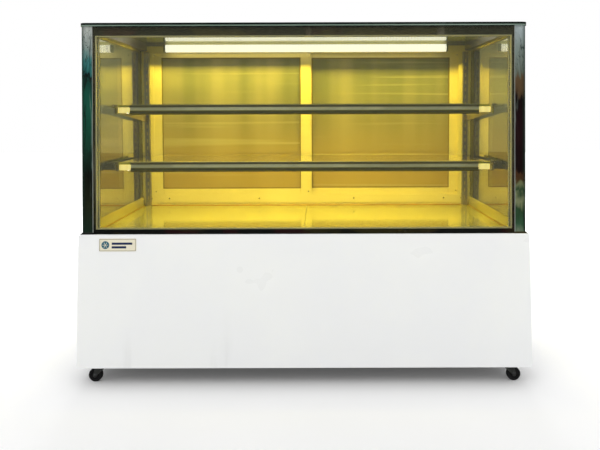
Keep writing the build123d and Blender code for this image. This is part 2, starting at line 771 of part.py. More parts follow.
def sliding_door(name, side, groove_start):
    """One sliding door: frame of four profiles with the pane in its groove, and a flush cup pull."""
    near = groove_start + (TRACK_GROOVE - DOOR_THICK) / 2
    far = near + DOOR_THICK
    bottom = SILL_TOP - TRACK_DEPTH + 1.5
    top = HEADER_BOTTOM + 9
    outer = DOOR_OPENING_HALF + TRACK_DEPTH - 1.5
    left = min(side * outer, -side * DOOR_OVERLAP)
    right = max(side * outer, -side * DOOR_OVERLAP)
    rail_bottom = bottom + 40
    rail_top = top - 30
    bite = 7
    pane_low = (left + STILE - bite, (near + far - PANE) / 2, rail_bottom - bite)
    pane_high = (right - STILE + bite, (near + far + PANE) / 2, rail_top + bite)
    pull_x = side * (DOOR_OPENING_HALF - 18)
    pull_z = 860
    pull_r = 11
    pull_straight = 90
    with BuildPart() as frame:
        block((left, near, bottom), (left + STILE - 0.1, far, top))
        block((right - STILE + 0.1, near, bottom), (right, far, top))
        block((left + STILE, near, bottom), (right - STILE, far, rail_bottom))
        block((left + STILE, near, rail_top), (right - STILE, far, top))
        block(pane_low, pane_high, Mode.SUBTRACT)
        with BuildSketch(Plane.XZ.offset(-far)) as cup_hole:
            with Locations((pull_x, pull_z)):
                SlotCenterToCenter(pull_straight, 2 * pull_r, rotation=90)
        extrude(cup_hole.sketch, amount=11, mode=Mode.SUBTRACT)
    save(frame, f"{name}_door_frame")
    with BuildPart() as pane:
        block(
            (pane_low[0] + 0.1, pane_low[1] + 0.1, pane_low[2] + 0.1),
            (pane_high[0] - 0.1, pane_high[1] - 0.1, pane_high[2] - 0.1),
        )
    save(pane, f"{name}_door_glass")
    with BuildPart() as pull:
        with BuildSketch(Plane.XZ.offset(-far)) as flange:
            with Locations((pull_x, pull_z)):
                SlotCenterToCenter(pull_straight, 2 * pull_r + 5, rotation=90)
        extrude(flange.sketch, amount=-1)
        with BuildSketch(Plane.XZ.offset(-far)) as cup:
            with Locations((pull_x, pull_z)):
                SlotCenterToCenter(pull_straight, 2 * pull_r - 0.4, rotation=90)
        extrude(cup.sketch, amount=10.5)
        with BuildSketch(Plane.XZ.offset(-far - 1)) as hollow:
            with Locations((pull_x, pull_z)):
                SlotCenterToCenter(pull_straight, 2 * pull_r - 4, rotation=90)
        extrude(hollow.sketch, amount=10, mode=Mode.SUBTRACT)
    save(pull, f"{name}_door_pull")


# ---------------------------------------------------------------- shelves
BRACKET_THICK = 4


def shelf_uprights():
    """Slotted uprights in the rear corners, standing on the well's rim."""
    foot = DECK_TOP - DECK_SHEET
    with BuildPart() as uprights:
        for side in MIRROR_SIDES:
            x = side * UPRIGHT_X
            block(
                (x - UPRIGHT_W / 2, UPRIGHT_FRONT, foot),
                (x + UPRIGHT_W / 2, DOOR_PLANE - 0.2, CEILING - 6),
            )
            block(
                (x - UPRIGHT_W / 2 + 2, UPRIGHT_FRONT + 2, foot),
                (x + UPRIGHT_W / 2 - 2, DOOR_PLANE - 0.2, CEILING - 6),
                Mode.SUBTRACT,
            )
        with BuildSketch(Plane.XZ.offset(-UPRIGHT_FRONT)) as slots:
            with Locations((0, 830)):
                with GridLocations(2 * UPRIGHT_X, 30, 2, 20):
                    SlotOverall(16, 5, rotation=90)
        extrude(slots.sketch, amount=-2, mode=Mode.SUBTRACT)
    save(uprights, "shelf_uprights")


def shelf_brackets():
    """Cantilever brackets, tapering to the front, with a foot under the glass."""
    with BuildPart() as brackets:
        for top in SHELF_TOPS:
            under = top - SHELF_GLASS_THICK - 1
            points = [
                (SHELF_FRONT + 4, under),
                (UPRIGHT_FRONT - 0.2, under),
                (UPRIGHT_FRONT - 0.2, under - 62),
                (UPRIGHT_FRONT - 34, under - 54),
                (SHELF_FRONT + 60, under - 24),
                (SHELF_FRONT + 4, under - 20),
            ]
            for side in MIRROR_SIDES:
                x = side * BRACKET_X
                side_plate(points, x - BRACKET_THICK / 2, x + BRACKET_THICK / 2)
                inward = sorted((side * (BRACKET_X - 2), side * (BRACKET_X - 18)))
                block(
                    (inward[0], SHELF_FRONT + 22, under - 2),
                    (inward[1], UPRIGHT_FRONT - 30, under),
                )
    save(brackets, "shelf_brackets")


def shelf_glass():
    """The two shelf glasses."""
    with BuildPart() as glasses:
        for top in SHELF_TOPS:
            block(
                (-LIGHT_BAR_HALF, SHELF_FRONT + 2.2, top - 1 - SHELF_GLASS_THICK),
                (LIGHT_BAR_HALF, SHELF_BACK, top - 1),
            )
        fillet(glasses.edges().filter_by(Axis.Z), radius=4)
    save(glasses, "shelf_glass")


def shelf_rails():
    """Polished front rails: a channel that hooks over the glass's front edge."""
    with BuildPart() as rails:
        for top in SHELF_TOPS:
            points = [
                (SHELF_FRONT, top - RAIL_HEIGHT),
                (SHELF_FRONT + 18, top - RAIL_HEIGHT),
                (SHELF_FRONT + 18, top - RAIL_HEIGHT + 2),
                (SHELF_FRONT + 2, top - RAIL_HEIGHT + 2),
                (SHELF_FRONT + 2, top - 0.8),
                (SHELF_FRONT + 12, top - 0.8),
                (SHELF_FRONT + 12, top + 1),
                (SHELF_FRONT, top + 1),
            ]
            side_plate(points, -RAIL_HALF, RAIL_HALF)
    save(rails, "shelf_rails")


def shelf_light_bars():
    """Light bar under the front edge of each shelf glass, behind its rail."""
    with BuildPart() as bars:
        for top in SHELF_TOPS:
            under = top - 1 - SHELF_GLASS_THICK
            block(
                (-LIGHT_BAR_HALF, SHELF_FRONT + 2.4, under - 20),
                (LIGHT_BAR_HALF, SHELF_FRONT + 16, under - 0.2),
            )
    save(bars, "shelf_light_bars")


def shelf_clamps():
    """End clamps that hold each shelf's light bar and glass to the bracket noses."""
    with BuildPart() as clamps:
        for top in SHELF_TOPS:
            mirrored_blocks(
                (LIGHT_BAR_HALF + 0.2, SHELF_FRONT - 2, top - RAIL_HEIGHT + 4),
                (BRACKET_X - BRACKET_THICK / 2 - 0.1, SHELF_FRONT + 20, top - 12),
            )
            mirrored_blocks(
                (LIGHT_BAR_HALF + 0.2, SHELF_FRONT - 2, top - 12),
                (BRACKET_X + 8, SHELF_FRONT + 20, top + 1),
            )
            mirrored_blocks(
                (BRACKET_X - BRACKET_THICK / 2 - 0.1, SHELF_FRONT + 3, top - 32),
                (BRACKET_X + BRACKET_THICK / 2 + 0.1, SHELF_FRONT + 21, top - 8),
                Mode.SUBTRACT,
            )
    save(clamps, "shelf_clamps")


# ---------------------------------------------------------------- casters
def caster_plates():
    """Four fixed caster plates, each with its ball-race housing and four bolt heads."""
    with BuildPart() as plates:
        with Locations((0, 0, BASE_BOTTOM - 1.5)):
            with GridLocations(2 * CASTER_X, 2 * CASTER_Y, 2, 2):
                Box(60, 60, 3)
        with Locations((0, 0, BASE_BOTTOM - 6)):
            with GridLocations(2 * CASTER_X, 2 * CASTER_Y, 2, 2):
                Cylinder(17, 6)
        with Locations((0, 0, BASE_BOTTOM - 4)):
            with GridLocations(2 * CASTER_X, 2 * CASTER_Y, 2, 2):
                with GridLocations(46, 46, 2, 2):
                    Cylinder(4, 2)
    save(plates, "caster_plates")


def caster(name, x, y, outward):
    """One caster: pressed fork with its axle, and a wheel with a hub that runs on the axle."""
    wheel_x = x + outward * CASTER_TRAIL
    wheel_z = WHEEL_D / 2
    leg_gap = WHEEL_WIDTH / 2 + 1
    leg = 2.5
    fork_top = BASE_BOTTOM - 9.4
    inboard = x - outward * 15
    points = [
        (inboard, fork_top),
        (x + outward * 17, fork_top),
        (wheel_x + outward * 6, wheel_z + 3),
        (wheel_x + outward * 4, wheel_z - 6),
        (wheel_x - outward * 4, wheel_z - 6),
        (wheel_x - outward * 9, wheel_z + 3),
        (inboard, fork_top - 6),
    ]
    with BuildPart() as fork:
        rod((x, y, fork_top - 2.5), (0, 0, 1), 15, 2.5)
        block((x - 14, y - leg_gap - leg, fork_top - 2.5), (x + 14, y + leg_gap + leg, fork_top))
        for start in (y - leg_gap - leg, y + leg_gap):
            with BuildSketch(Plane.XZ.offset(-start)) as cheek:
                with BuildLine():
                    Polyline(*points, close=True)
                make_face()
            extrude(cheek.sketch, amount=-leg)
        rod((wheel_x, y - leg_gap - leg - 1.5, wheel_z), (0, 1, 0), AXLE_R, 2 * (leg_gap + leg) + 3)
    save(fork, f"{name}_caster_fork")
    with BuildPart() as wheel:
        rod((wheel_x, y - WHEEL_WIDTH / 2, wheel_z), (0, 1, 0), WHEEL_D / 2, WHEEL_WIDTH)
        rim = wheel.edges().filter_by(GeomType.CIRCLE)
        fillet(rim, radius=3)
        for face_y, direction in ((y - WHEEL_WIDTH / 2, 1), (y + WHEEL_WIDTH / 2, -1)):
            with BuildSketch(Plane((wheel_x, face_y, wheel_z), z_dir=(0, direction, 0))) as dish:
                Circle(WHEEL_D / 2 - 6)
                Circle(7.5, mode=Mode.SUBTRACT)
            extrude(dish.sketch, amount=2.5, mode=Mode.SUBTRACT)
        bore = AXLE_R + AXLE_CLEARANCE
        rod((wheel_x, y - WHEEL_WIDTH, wheel_z), (0, 1, 0), bore, 2 * WHEEL_WIDTH, Mode.SUBTRACT)
    save(wheel, f"{name}_caster_wheel")


# ---------------------------------------------------------------- make every piece
base_frame()
base_floor()
front_panel()
end_panels()
rear_panel()
panel_screws()
badge_plate()
insulated_well()
evaporator_coil()
evaporator_fan()
condenser()
compressor()
refrigerant_lines()
condensate_tray()
drain_spigot()
control_panel()
rocker_switch(SWITCH_X[0], "power_switch")
rocker_switch(SWITCH_X[1], "light_switch")
mains_gland()
front_posts()
rear_posts()
front_glass()
side_glass()
canopy_frame()
lid()
deck_panels()
side_coamings()
ceiling_light()
rear_sill_beam()
door_surround()
sliding_door("left", -1, GROOVE_STARTS[0])
sliding_door("right", 1, GROOVE_STARTS[1])
shelf_uprights()
shelf_brackets()
shelf_glass()
shelf_rails()
shelf_light_bars()
shelf_clamps()
caster_plates()
for row_name, caster_y in (("front", -CASTER_Y), ("rear", CASTER_Y)):
    for side_name, side_sign in (("left", -1), ("right", 1)):
        caster(f"{row_name}_{side_name}", side_sign * CASTER_X, caster_y, side_sign)
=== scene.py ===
"""Looks of a refrigerated bakery display case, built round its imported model. Lengths are in metres."""

import json
import logging
from dataclasses import dataclass
from enum import Enum
from math import cos, pi, radians, sin
from typing import Optional, Sequence

import bmesh
import bpy
from bmesh.types import BMesh, BMVert
from bpy.types import Material, Node, NodeSocket, Object
from mathutils import Matrix, Vector


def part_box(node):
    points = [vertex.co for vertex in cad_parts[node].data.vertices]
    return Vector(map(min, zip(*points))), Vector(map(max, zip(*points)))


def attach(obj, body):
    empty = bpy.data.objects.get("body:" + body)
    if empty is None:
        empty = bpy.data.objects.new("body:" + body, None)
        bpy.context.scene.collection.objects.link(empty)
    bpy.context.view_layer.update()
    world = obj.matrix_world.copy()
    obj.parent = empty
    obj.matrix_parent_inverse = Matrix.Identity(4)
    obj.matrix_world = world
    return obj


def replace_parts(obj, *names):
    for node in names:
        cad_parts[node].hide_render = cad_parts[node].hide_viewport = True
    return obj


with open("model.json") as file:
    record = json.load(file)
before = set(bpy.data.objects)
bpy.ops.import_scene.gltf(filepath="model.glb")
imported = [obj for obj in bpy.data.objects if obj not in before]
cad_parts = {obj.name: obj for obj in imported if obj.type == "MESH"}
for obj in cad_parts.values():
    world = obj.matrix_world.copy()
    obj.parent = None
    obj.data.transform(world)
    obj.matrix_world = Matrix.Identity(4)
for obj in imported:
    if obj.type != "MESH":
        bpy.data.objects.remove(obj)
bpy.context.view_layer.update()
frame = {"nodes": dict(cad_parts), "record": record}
LOG = logging.getLogger("display_case")

Colour = tuple[float, float, float]
Point = tuple[float, float, float]
Stops = Sequence[tuple[float, Colour]]
NODES = frame["nodes"]
CABINET = "cabinet"
PANE = 0.005  # thickness of a glass pane
AIR_GAP = 0.009  # space between the panes of a double pane
FLANGE = 0.020  # depth of the front panel's top flange
LIGHT_BAR = 0.0198  # height of a shelf's light bar
CHIP_PITCH = 0.0208  # distance between light chips
FILM = 0.0004  # how far marks and flat heads stand proud
WHITE = (1.0, 1.0, 1.0)


class Side(Enum):
    """The two ends of the case, by the sign of X."""

    LEFT = -1
    RIGHT = 1

    def span(self, near: float, far: float) -> list[float]:
        """Two distances from the middle as X on this side, lowest first."""
        return sorted((self.value * near, self.value * far))


class Axis(Enum):
    """The axis that a round or flat piece points along, as the turn that takes Z to it."""

    X = Matrix.Rotation(pi / 2, 4, "Y")
    Y = Matrix.Rotation(-pi / 2, 4, "X")


# ---------------------------------------------------------------- node graph helper
class Graph:
    """Builds the nodes of a material or a world. Patterns read the object's own coordinates, in metres."""

    def __init__(self, name: str, world: bool = False) -> None:
        """Starts an empty material or world.

        Args:
            name: its name.
            world: whether it is a world, whose coordinates are directions.
        """
        self.owner = (bpy.data.worlds if world else bpy.data.materials).new(name)
        self.owner.use_nodes = True
        self.tree = self.owner.node_tree
        self.tree.nodes.clear()
        self.output = self.node("ShaderNodeOutputWorld" if world else "ShaderNodeOutputMaterial")
        self.coordinates = self.node("ShaderNodeTexCoord").outputs["Generated" if world else "Object"]

    def node(self, kind: str, **settings: object) -> Node:
        """Adds a node.

        Args:
            kind: the node's type.
            **settings: its properties.

        Returns:
            The new node.
        """
        made = self.tree.nodes.new(kind)
        for key, value in settings.items():
            setattr(made, key, value)
        return made

    def feed(self, socket: NodeSocket, value: object) -> None:
        """Links a socket, or sets its value.

        Args:
            socket: the input.
            value: another node's output, or a number, colour or vector.
        """
        if isinstance(value, NodeSocket):
            self.tree.links.new(value, socket)
        elif isinstance(value, tuple) and socket.type == "RGBA":
            socket.default_value = (*value, 1.0)
        else:
            socket.default_value = value

    def place(self, stretch: Point = (1, 1, 1), offset: Point = (0, 0, 0)) -> NodeSocket:
        """Stretches and shifts the coordinates.

        Args:
            stretch: factor along each axis.
            offset: shift added after the stretch.

        Returns:
            The new coordinates.
        """
        mapping = self.node("ShaderNodeMapping")
        self.feed(mapping.inputs["Vector"], self.coordinates)
        self.feed(mapping.inputs["Scale"], stretch)
        self.feed(mapping.inputs["Location"], offset)
        return mapping.outputs["Vector"]

    def axis(self, letter: str, where: Optional[NodeSocket] = None) -> NodeSocket:
        """One coordinate of a point.

        Args:
            letter: X, Y or Z.
            where: the coordinates, or None for the object's own.

        Returns:
            The value along that axis.
        """
        split = self.node("ShaderNodeSeparateXYZ")
        self.feed(split.inputs[0], where or self.coordinates)
        return split.outputs[letter]

    def noise(self, scale: float, detail: float = 3.0, where: Optional[NodeSocket] = None,
              distortion: float = 0.0) -> NodeSocket:
        """Cloudy noise.

        Args:
            scale: cells in a metre.
            detail: octaves.
            where: coordinates, or None for the object's own.
            distortion: how much the noise bends itself.

        Returns:
            The noise value, about 0 to 1.
        """
        texture = self.node("ShaderNodeTexNoise")
        self.feed(texture.inputs["Vector"], where or self.coordinates)
        self.feed(texture.inputs["Scale"], scale)
        self.feed(texture.inputs["Detail"], detail)
        self.feed(texture.inputs["Distortion"], distortion)
        return texture.outputs["Fac"]

    def cells(self, scale: float) -> NodeSocket:
        """Random grey for each cell of a crystal pattern, with this many cells in a metre."""
        texture = self.node("ShaderNodeTexVoronoi", feature="F1")
        self.feed(texture.inputs["Vector"], self.coordinates)
        self.feed(texture.inputs["Scale"], scale)
        return self.axis("X", texture.outputs["Color"])

    def sum(self, kind: str, first: object, second: object) -> NodeSocket:
        """Arithmetic on two values.

        Args:
            kind: the operation's name, such as MULTIPLY.
            first: the first value.
            second: the second value.

        Returns:
            The result.
        """
        maths = self.node("ShaderNodeMath", operation=kind)
        self.feed(maths.inputs[0], first)
        self.feed(maths.inputs[1], second)
        return maths.outputs[0]

    def times(self, first: object, second: object) -> NodeSocket:
        """Product of two values."""
        return self.sum("MULTIPLY", first, second)

    def sway(self, value: NodeSocket, pattern: NodeSocket, reach: float) -> NodeSocket:
        """Moves a value up and down with a pattern.

        Args:
            value: what is moved.
            pattern: about 0 to 1.
            reach: how far it moves in all.

        Returns:
            The moved value.
        """
        return self.sum("ADD", value, self.times(self.sum("SUBTRACT", pattern, 0.5), reach))

    def fade(self, value: NodeSocket, start: float, end: float, low: float = 0.0, high: float = 1.0,
             shape: str = "SMOOTHSTEP") -> NodeSocket:
        """Change of a value between two limits.

        Args:
            value: what is read.
            start: where the result is low.
            end: where the result is high.
            low: result at start.
            high: result at end.
            shape: the kind of interpolation.

        Returns:
            The faded value.
        """
        ranger = self.node("ShaderNodeMapRange", interpolation_type=shape)
        sockets = {"Value": value, "From Min": start, "From Max": end, "To Min": low, "To Max": high}
        for key, number in sockets.items():
            self.feed(ranger.inputs[key], number)
        return ranger.outputs["Result"]

    def ramp(self, value: NodeSocket, stops: Stops) -> NodeSocket:
        """Colour that depends on a value.

        Args:
            value: 0 to 1.
            stops: places and their colours.

        Returns:
            The colour.
        """
        ramp = self.node("ShaderNodeValToRGB")
        self.feed(ramp.inputs[0], value)
        elements = ramp.color_ramp.elements
        while len(elements) < len(stops):
            elements.new(1.0)
        for element, (place, colour) in zip(elements, stops):
            element.position = place
            element.color = (*colour, 1.0)
        return ramp.outputs["Color"]

    def mix(self, share: object, first: object, second: object) -> NodeSocket:
        """Mix of two colours.

        Args:
            share: share of the second.
            first: the first colour.
            second: the second colour.

        Returns:
            The mixed colour.
        """
        mixer = self.node("ShaderNodeMix", data_type="RGBA")
        self.feed(mixer.inputs[0], share)
        self.feed(mixer.inputs[6], first)
        self.feed(mixer.inputs[7], second)
        return mixer.outputs[2]

    def bump(self, height: NodeSocket, depth: float, strength: float = 1.0) -> NodeSocket:
        """Surface relief.

        Args:
            height: the relief's pattern.
            depth: its depth in metres.
            strength: how much of it shows.

        Returns:
            The bent normal.
        """
        relief = self.node("ShaderNodeBump")
        self.feed(relief.inputs["Height"], height)
        self.feed(relief.inputs["Distance"], depth)
        self.feed(relief.inputs["Strength"], strength)
        return relief.outputs["Normal"]

    def shader(self, kind: str = "BsdfPrincipled", **values: object) -> Node:
        """Adds a shader.

        Args:
            kind: the shader's type.
            **values: its inputs by name, with underscores for spaces.

        Returns:
            The shader node.
        """
        shader = self.node(f"ShaderNode{kind}")
        for key, value in values.items():
            self.feed(shader.inputs[key.replace("_", " ")], value)
        return shader

    def blend(self, share: object, first: Node, second: Node) -> Node:
        """Mixes two shaders.

        Args:
            share: share of the second.
            first: the first shader.
            second: the second shader.

        Returns:
            The shader node.
        """
        blend = self.node("ShaderNodeMixShader")
        for number, value in enumerate((share, first.outputs[0], second.outputs[0])):
            self.feed(blend.inputs[number], value)
        return blend

    def ray(self, kind: str) -> NodeSocket:
        """Whether the ray is of a kind, such as Shadow."""
        return self.node("ShaderNodeLightPath").outputs[f"Is {kind} Ray"]

    def done(self, shader: Node) -> object:
        """Ends the material or world with this shader and returns it."""
        self.tree.links.new(shader.outputs[0], self.output.inputs["Surface"])
        return self.owner


# ---------------------------------------------------------------- finishes
def dimmed(colour: Colour, share: float) -> Colour:
    """The colour with each channel times share."""
    return tuple(channel * share for channel in colour)


@dataclass(frozen=True)
class Paint:
    """Powder-coated or moulded surface with a fine skin, faint clouds and some marks.

    Attributes:
        name: the material's name.
        colour: the main colour.
        shade: the colour of its clouds.
        roughness: mean roughness.
        skin: grains of the fine relief in a metre.
        relief: depth of that relief in metres.
        coat: strength of the clear coat.
        marks: how strongly scuffs show near the floor.
    """

    name: str
    colour: Colour
    shade: Colour
    roughness: float = 0.35
    skin: float = 420.0
    relief: float = 0.00004
    coat: float = 0.0
    marks: float = 0.0

    def material(self) -> Material:
        """Builds the material."""
        graph = Graph(self.name)
        clouds = graph.noise(3.1, 4.0, distortion=0.6)
        colour = graph.mix(graph.fade(clouds, 0.35, 0.7), self.colour, self.shade)
        if self.marks:
            streaks = graph.noise(9.0, 6.0, graph.place((1.0, 1.0, 0.12)))
            low = graph.fade(graph.axis("Z"), 0.30, 0.06)
            scuffs = graph.times(graph.fade(streaks, 0.58, 0.74), low)
            colour = graph.mix(graph.times(scuffs, self.marks), colour, dimmed(self.colour, 0.62))
        fine = graph.noise(self.skin, 2.0)
        roughness = graph.fade(clouds, 0.2, 0.8, self.roughness * 0.85, self.roughness * 1.2)
        return graph.done(graph.shader(
            Base_Color=colour, Roughness=roughness, Normal=graph.bump(fine, self.relief),
            Coat_Weight=self.coat, Coat_Roughness=0.12,
        ))


@dataclass(frozen=True)
class Metal:
    """Metal sheet or bar with a grain along one axis.

    Attributes:
        name: the material's name.
        colour: the bright colour.
        shade: the colour between its grains.
        roughness: mean roughness.
        grain: stretch of the grain along each axis.
        relief: depth of the grain in metres.
        metallic: share of metal in the surface.
        spangle: crystals in a metre, or none.
    """

    name: str
    colour: Colour
    shade: Colour
    roughness: float = 0.3
    grain: Point = (0.03, 1.0, 1.0)
    relief: float = 0.00003
    metallic: float = 1.0
    spangle: float = 0.0

    def material(self) -> Material:
        """Builds the material."""
        graph = Graph(self.name)
        lines = graph.noise(700.0, 3.0, graph.place(self.grain))
        clouds = graph.noise(4.0, 4.0)
        tone = graph.sum("ADD", graph.times(lines, 0.5), graph.times(clouds, 0.5))
        if self.spangle:
            tone = graph.cells(self.spangle)
        colour = graph.mix(graph.fade(tone, 0.3, 0.7), self.shade, self.colour)
        roughness = graph.fade(tone, 0.25, 0.75, self.roughness * 1.25, self.roughness * 0.8)
        return graph.done(graph.shader(
            Base_Color=colour, Metallic=self.metallic, Roughness=roughness,
            Normal=graph.bump(lines, self.relief),
        ))


@dataclass(frozen=True)
class Glass:
    """Clear pane that lets lamps shine through, with a faint film and wipe marks.

    Attributes:
        name: the material's name.
        tint: colour of the glass.
        shadow: colour of lamplight that has passed it.
        index: refractive index.
    """

    name: str
    tint: Colour
    shadow: Colour
    index: float = 1.45

    def material(self) -> Material:
        """Builds the material."""
        graph = Graph(self.name)
        film = graph.noise(2.2, 5.0, graph.place((1.0, 1.0, 0.4)), distortion=1.2)
        colour = graph.mix(graph.fade(film, 0.45, 0.75), self.tint, dimmed(self.tint, 0.97))
        roughness = graph.fade(film, 0.55, 0.9, 0.0, 0.015)
        pane = graph.shader(Base_Color=colour, Roughness=roughness, Transmission_Weight=1.0, IOR=self.index)
        clear = graph.shader("BsdfTransparent", Color=self.shadow)
        return graph.done(graph.blend(graph.ray("Shadow"), pane, clear))


@dataclass(frozen=True)
class DoorPane:
    """Dark olive-tinted door glass: half mirror, half see-through; its colour is painted reflection in soft
    upright stripes, with painted glint streaks and painted warm light towards its foot.

    Attributes:
        name: the material's name.
        colour: the colour of its painted sheen.
        shade: the colour between the painted reflection stripes.
        foot: the warm colour that it sinks to at its foot, painted warm light.
        glint: the colour of its faint level streaks, painted glints.
        veil: the tint of what shows through.
        share: how much shows through.
    """

    name: str
    colour: Colour
    shade: Colour
    foot: Colour
    glint: Colour
    veil: Colour
    share: float

    def material(self) -> Material:
        """Builds the material."""
        graph = Graph(self.name)
        # painted reflection: soft upright stripes in the pane's colour
        painted_reflection_bands = graph.noise(7.0, 2.0, graph.place((1.0, 1.0, 0.04)))
        clouds = graph.noise(2.0, 3.0)
        tone = graph.sum("ADD", graph.times(painted_reflection_bands, 0.7), graph.times(clouds, 0.3))
        colour = graph.mix(graph.fade(tone, 0.38, 0.62), self.shade, self.colour)
        low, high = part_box("left_door_glass")
        # painted warm light: the colour sinks to the warm foot colour towards the bottom
        painted_warm_foot_light = graph.fade(graph.axis("Z"), high.z - 0.1, low.z, 0.0, 0.85)
        colour = graph.mix(painted_warm_foot_light, colour, self.foot)
        # painted glints: faint pale level streaks
        streaks = graph.fade(graph.noise(38.0, 2.0, graph.place((0.02, 1.0, 1.0))), 0.58, 0.72, 0.0, 0.3)
        colour = graph.mix(streaks, colour, self.glint)
        pane = graph.shader(Base_Color=colour, Roughness=graph.fade(clouds, 0.3, 0.8, 0.03, 0.07), IOR=1.5)
        clear = graph.shader("BsdfTransparent", Color=self.veil)
        return graph.done(graph.blend(self.share, pane, clear))


@dataclass(frozen=True)
class BlackMirror:
    """Black glass or back-printed border whose colour holds painted reflections: faint warm patches and pale
    upright streaks.

    Attributes:
        name: the material's name.
        colour: the black.
        patch: colour of the painted reflection patches.
        second: colour of the second painted reflection patches.
        streak: colour of the painted reflection streaks.
        amount: how strongly they show.
    """

    name: str
    colour: Colour
    patch: Colour
    second: Colour
    streak: Colour
    amount: float = 1.0

    def material(self) -> Material:
        """Builds the material."""
        graph = Graph(self.name)
        clouds = graph.noise(5.0, 3.0, graph.place((1.0, 1.0, 2.0)), distortion=0.8)
        lines = graph.noise(16.0, 2.0, graph.place((1.0, 0.4, 0.05), (3.7, 0.0, 0.0)))
        other = graph.noise(7.0, 1.0, graph.place((1.0, 1.0, 0.5), (9.1, 2.0, 0.0)), distortion=0.4)
        # painted reflections laid over the black: two kinds of patches and pale upright streaks
        layers = (
            (other, 0.55, 0.60, 1.0, self.second), (clouds, 0.52, 0.58, 1.0, self.patch),
            (lines, 0.66, 0.74, 0.6, self.streak),
        )
        colour = self.colour
        for pattern, start, end, share, layer in layers:
            colour = graph.mix(graph.fade(pattern, start, end, 0.0, self.amount * share), colour, layer)
        return graph.done(graph.shader(
            Base_Color=colour, Roughness=graph.fade(clouds, 0.2, 0.8, 0.05, 0.1), Coat_Weight=1.0,
            Coat_Roughness=0.02,
        ))


@dataclass(frozen=True)
class PostMirror:
    """Mirror-polished post whose slightly wavy faces carry painted reflections: dark green, teal and pale
    swirls.

    Attributes:
        name: the material's name.
        foot: Z where the post starts.
        top: Z where it ends.
        inner: distance of its inner face from the middle.
        width: its width.
    """

    name: str
    foot: float
    top: float
    inner: float
    width: float

    # Painted reflection colours up the left post, from its foot to its top.
    LEFT_REFLECTION_STOPS: Stops = (
        (0.00, (0.012, 0.030, 0.018)), (0.13, (0.016, 0.022, 0.010)), (0.30, (0.006, 0.009, 0.006)),
        (0.38, (0.010, 0.035, 0.022)), (0.50, (0.010, 0.085, 0.050)), (0.62, (0.012, 0.110, 0.070)),
        (0.74, (0.010, 0.060, 0.045)), (0.765, (0.004, 0.006, 0.006)), (0.785, (0.030, 0.170, 0.160)),
        (0.83, (0.060, 0.250, 0.240)), (0.88, (0.300, 0.380, 0.350)), (0.95, (0.480, 0.530, 0.490)),
        (1.00, (0.560, 0.600, 0.560)),
    )
    # Painted reflection colours up the right post, from its foot to its top.
    RIGHT_REFLECTION_STOPS: Stops = (
        (0.00, (0.210, 0.270, 0.180)), (0.06, (0.045, 0.120, 0.060)), (0.13, (0.030, 0.075, 0.030)),
        (0.17, (0.260, 0.290, 0.150)), (0.20, (0.030, 0.070, 0.030)), (0.23, (0.200, 0.230, 0.110)),
        (0.255, (0.080, 0.040, 0.016)), (0.29, (0.075, 0.034, 0.014)), (0.31, (0.012, 0.005, 0.005)),
        (0.50, (0.020, 0.006, 0.008)), (0.66, (0.008, 0.004, 0.004)), (0.70, (0.110, 0.065, 0.030)),
        (0.75, (0.140, 0.085, 0.040)), (0.78, (0.160, 0.190, 0.150)), (0.90, (0.260, 0.320, 0.290)),
        (1.00, (0.500, 0.580, 0.600)),
    )

    def material(self) -> Material:
        """Builds the material."""
        graph = Graph(self.name)
        swirl = graph.noise(11.0, 3.0, graph.place((1.0, 1.0, 0.55)), distortion=1.4)
        height = graph.fade(graph.axis("Z"), self.foot, self.top, shape="LINEAR")
        height = graph.sway(height, swirl, 0.11)
        distance = graph.sum("ABSOLUTE", graph.axis("X"), 0.0)
        across = graph.fade(distance, self.inner, self.inner + self.width, shape="LINEAR")
        on_right = graph.sum("GREATER_THAN", graph.axis("X"), 0.0)
        waves = graph.noise(30.0, 2.0, graph.place((1.6, 1.0, 0.5)), distortion=1.5)
        height = graph.sway(height, waves, 0.10)
        # painted reflection: the post's colour comes from the stops above, swayed by swirls and waves
        base = graph.mix(on_right, graph.ramp(height, self.LEFT_REFLECTION_STOPS), graph.ramp(height, self.RIGHT_REFLECTION_STOPS))
        # painted reflection: a dark line along one wave, in the upper part of the post
        from_line = graph.sum("ABSOLUTE", graph.sum("SUBTRACT", waves, 0.52), 0.0)
        outline = graph.times(graph.fade(from_line, 0.004, 0.016, 0.85, 0.0), graph.fade(height, 0.70, 0.76))
        base = graph.mix(outline, base, (0.010, 0.020, 0.016))
        ripple = graph.noise(26.0, 3.0, graph.place((1.4, 1.0, 0.16)), distortion=2.0)
        # painted highlight: pale streaks towards the inner edge
        streak = graph.fade(ripple, 0.56, 0.72)
        edge = graph.fade(across, 0.45, 0.0, 0.0, 0.55)
        base = graph.mix(graph.times(streak, edge), base, (0.32, 0.42, 0.36))
        # painted dark reflection towards the outer edge
        base = graph.mix(graph.fade(across, 0.62, 1.0, 0.0, 0.75), base, (0.008, 0.028, 0.018))
        # painted dark reflection in the ripples' dips
        painted_dark_dips = graph.fade(ripple, 0.30, 0.44, 0.7, 0.0)
        base = graph.mix(painted_dark_dips, base, (0.006, 0.010, 0.008))
        return graph.done(graph.shader(
            Base_Color=base, Metallic=0.35, Roughness=graph.fade(swirl, 0.3, 0.7, 0.07, 0.14),
            Normal=graph.bump(ripple, 0.0004), Coat_Weight=0.5, Coat_Roughness=0.04,
        ))


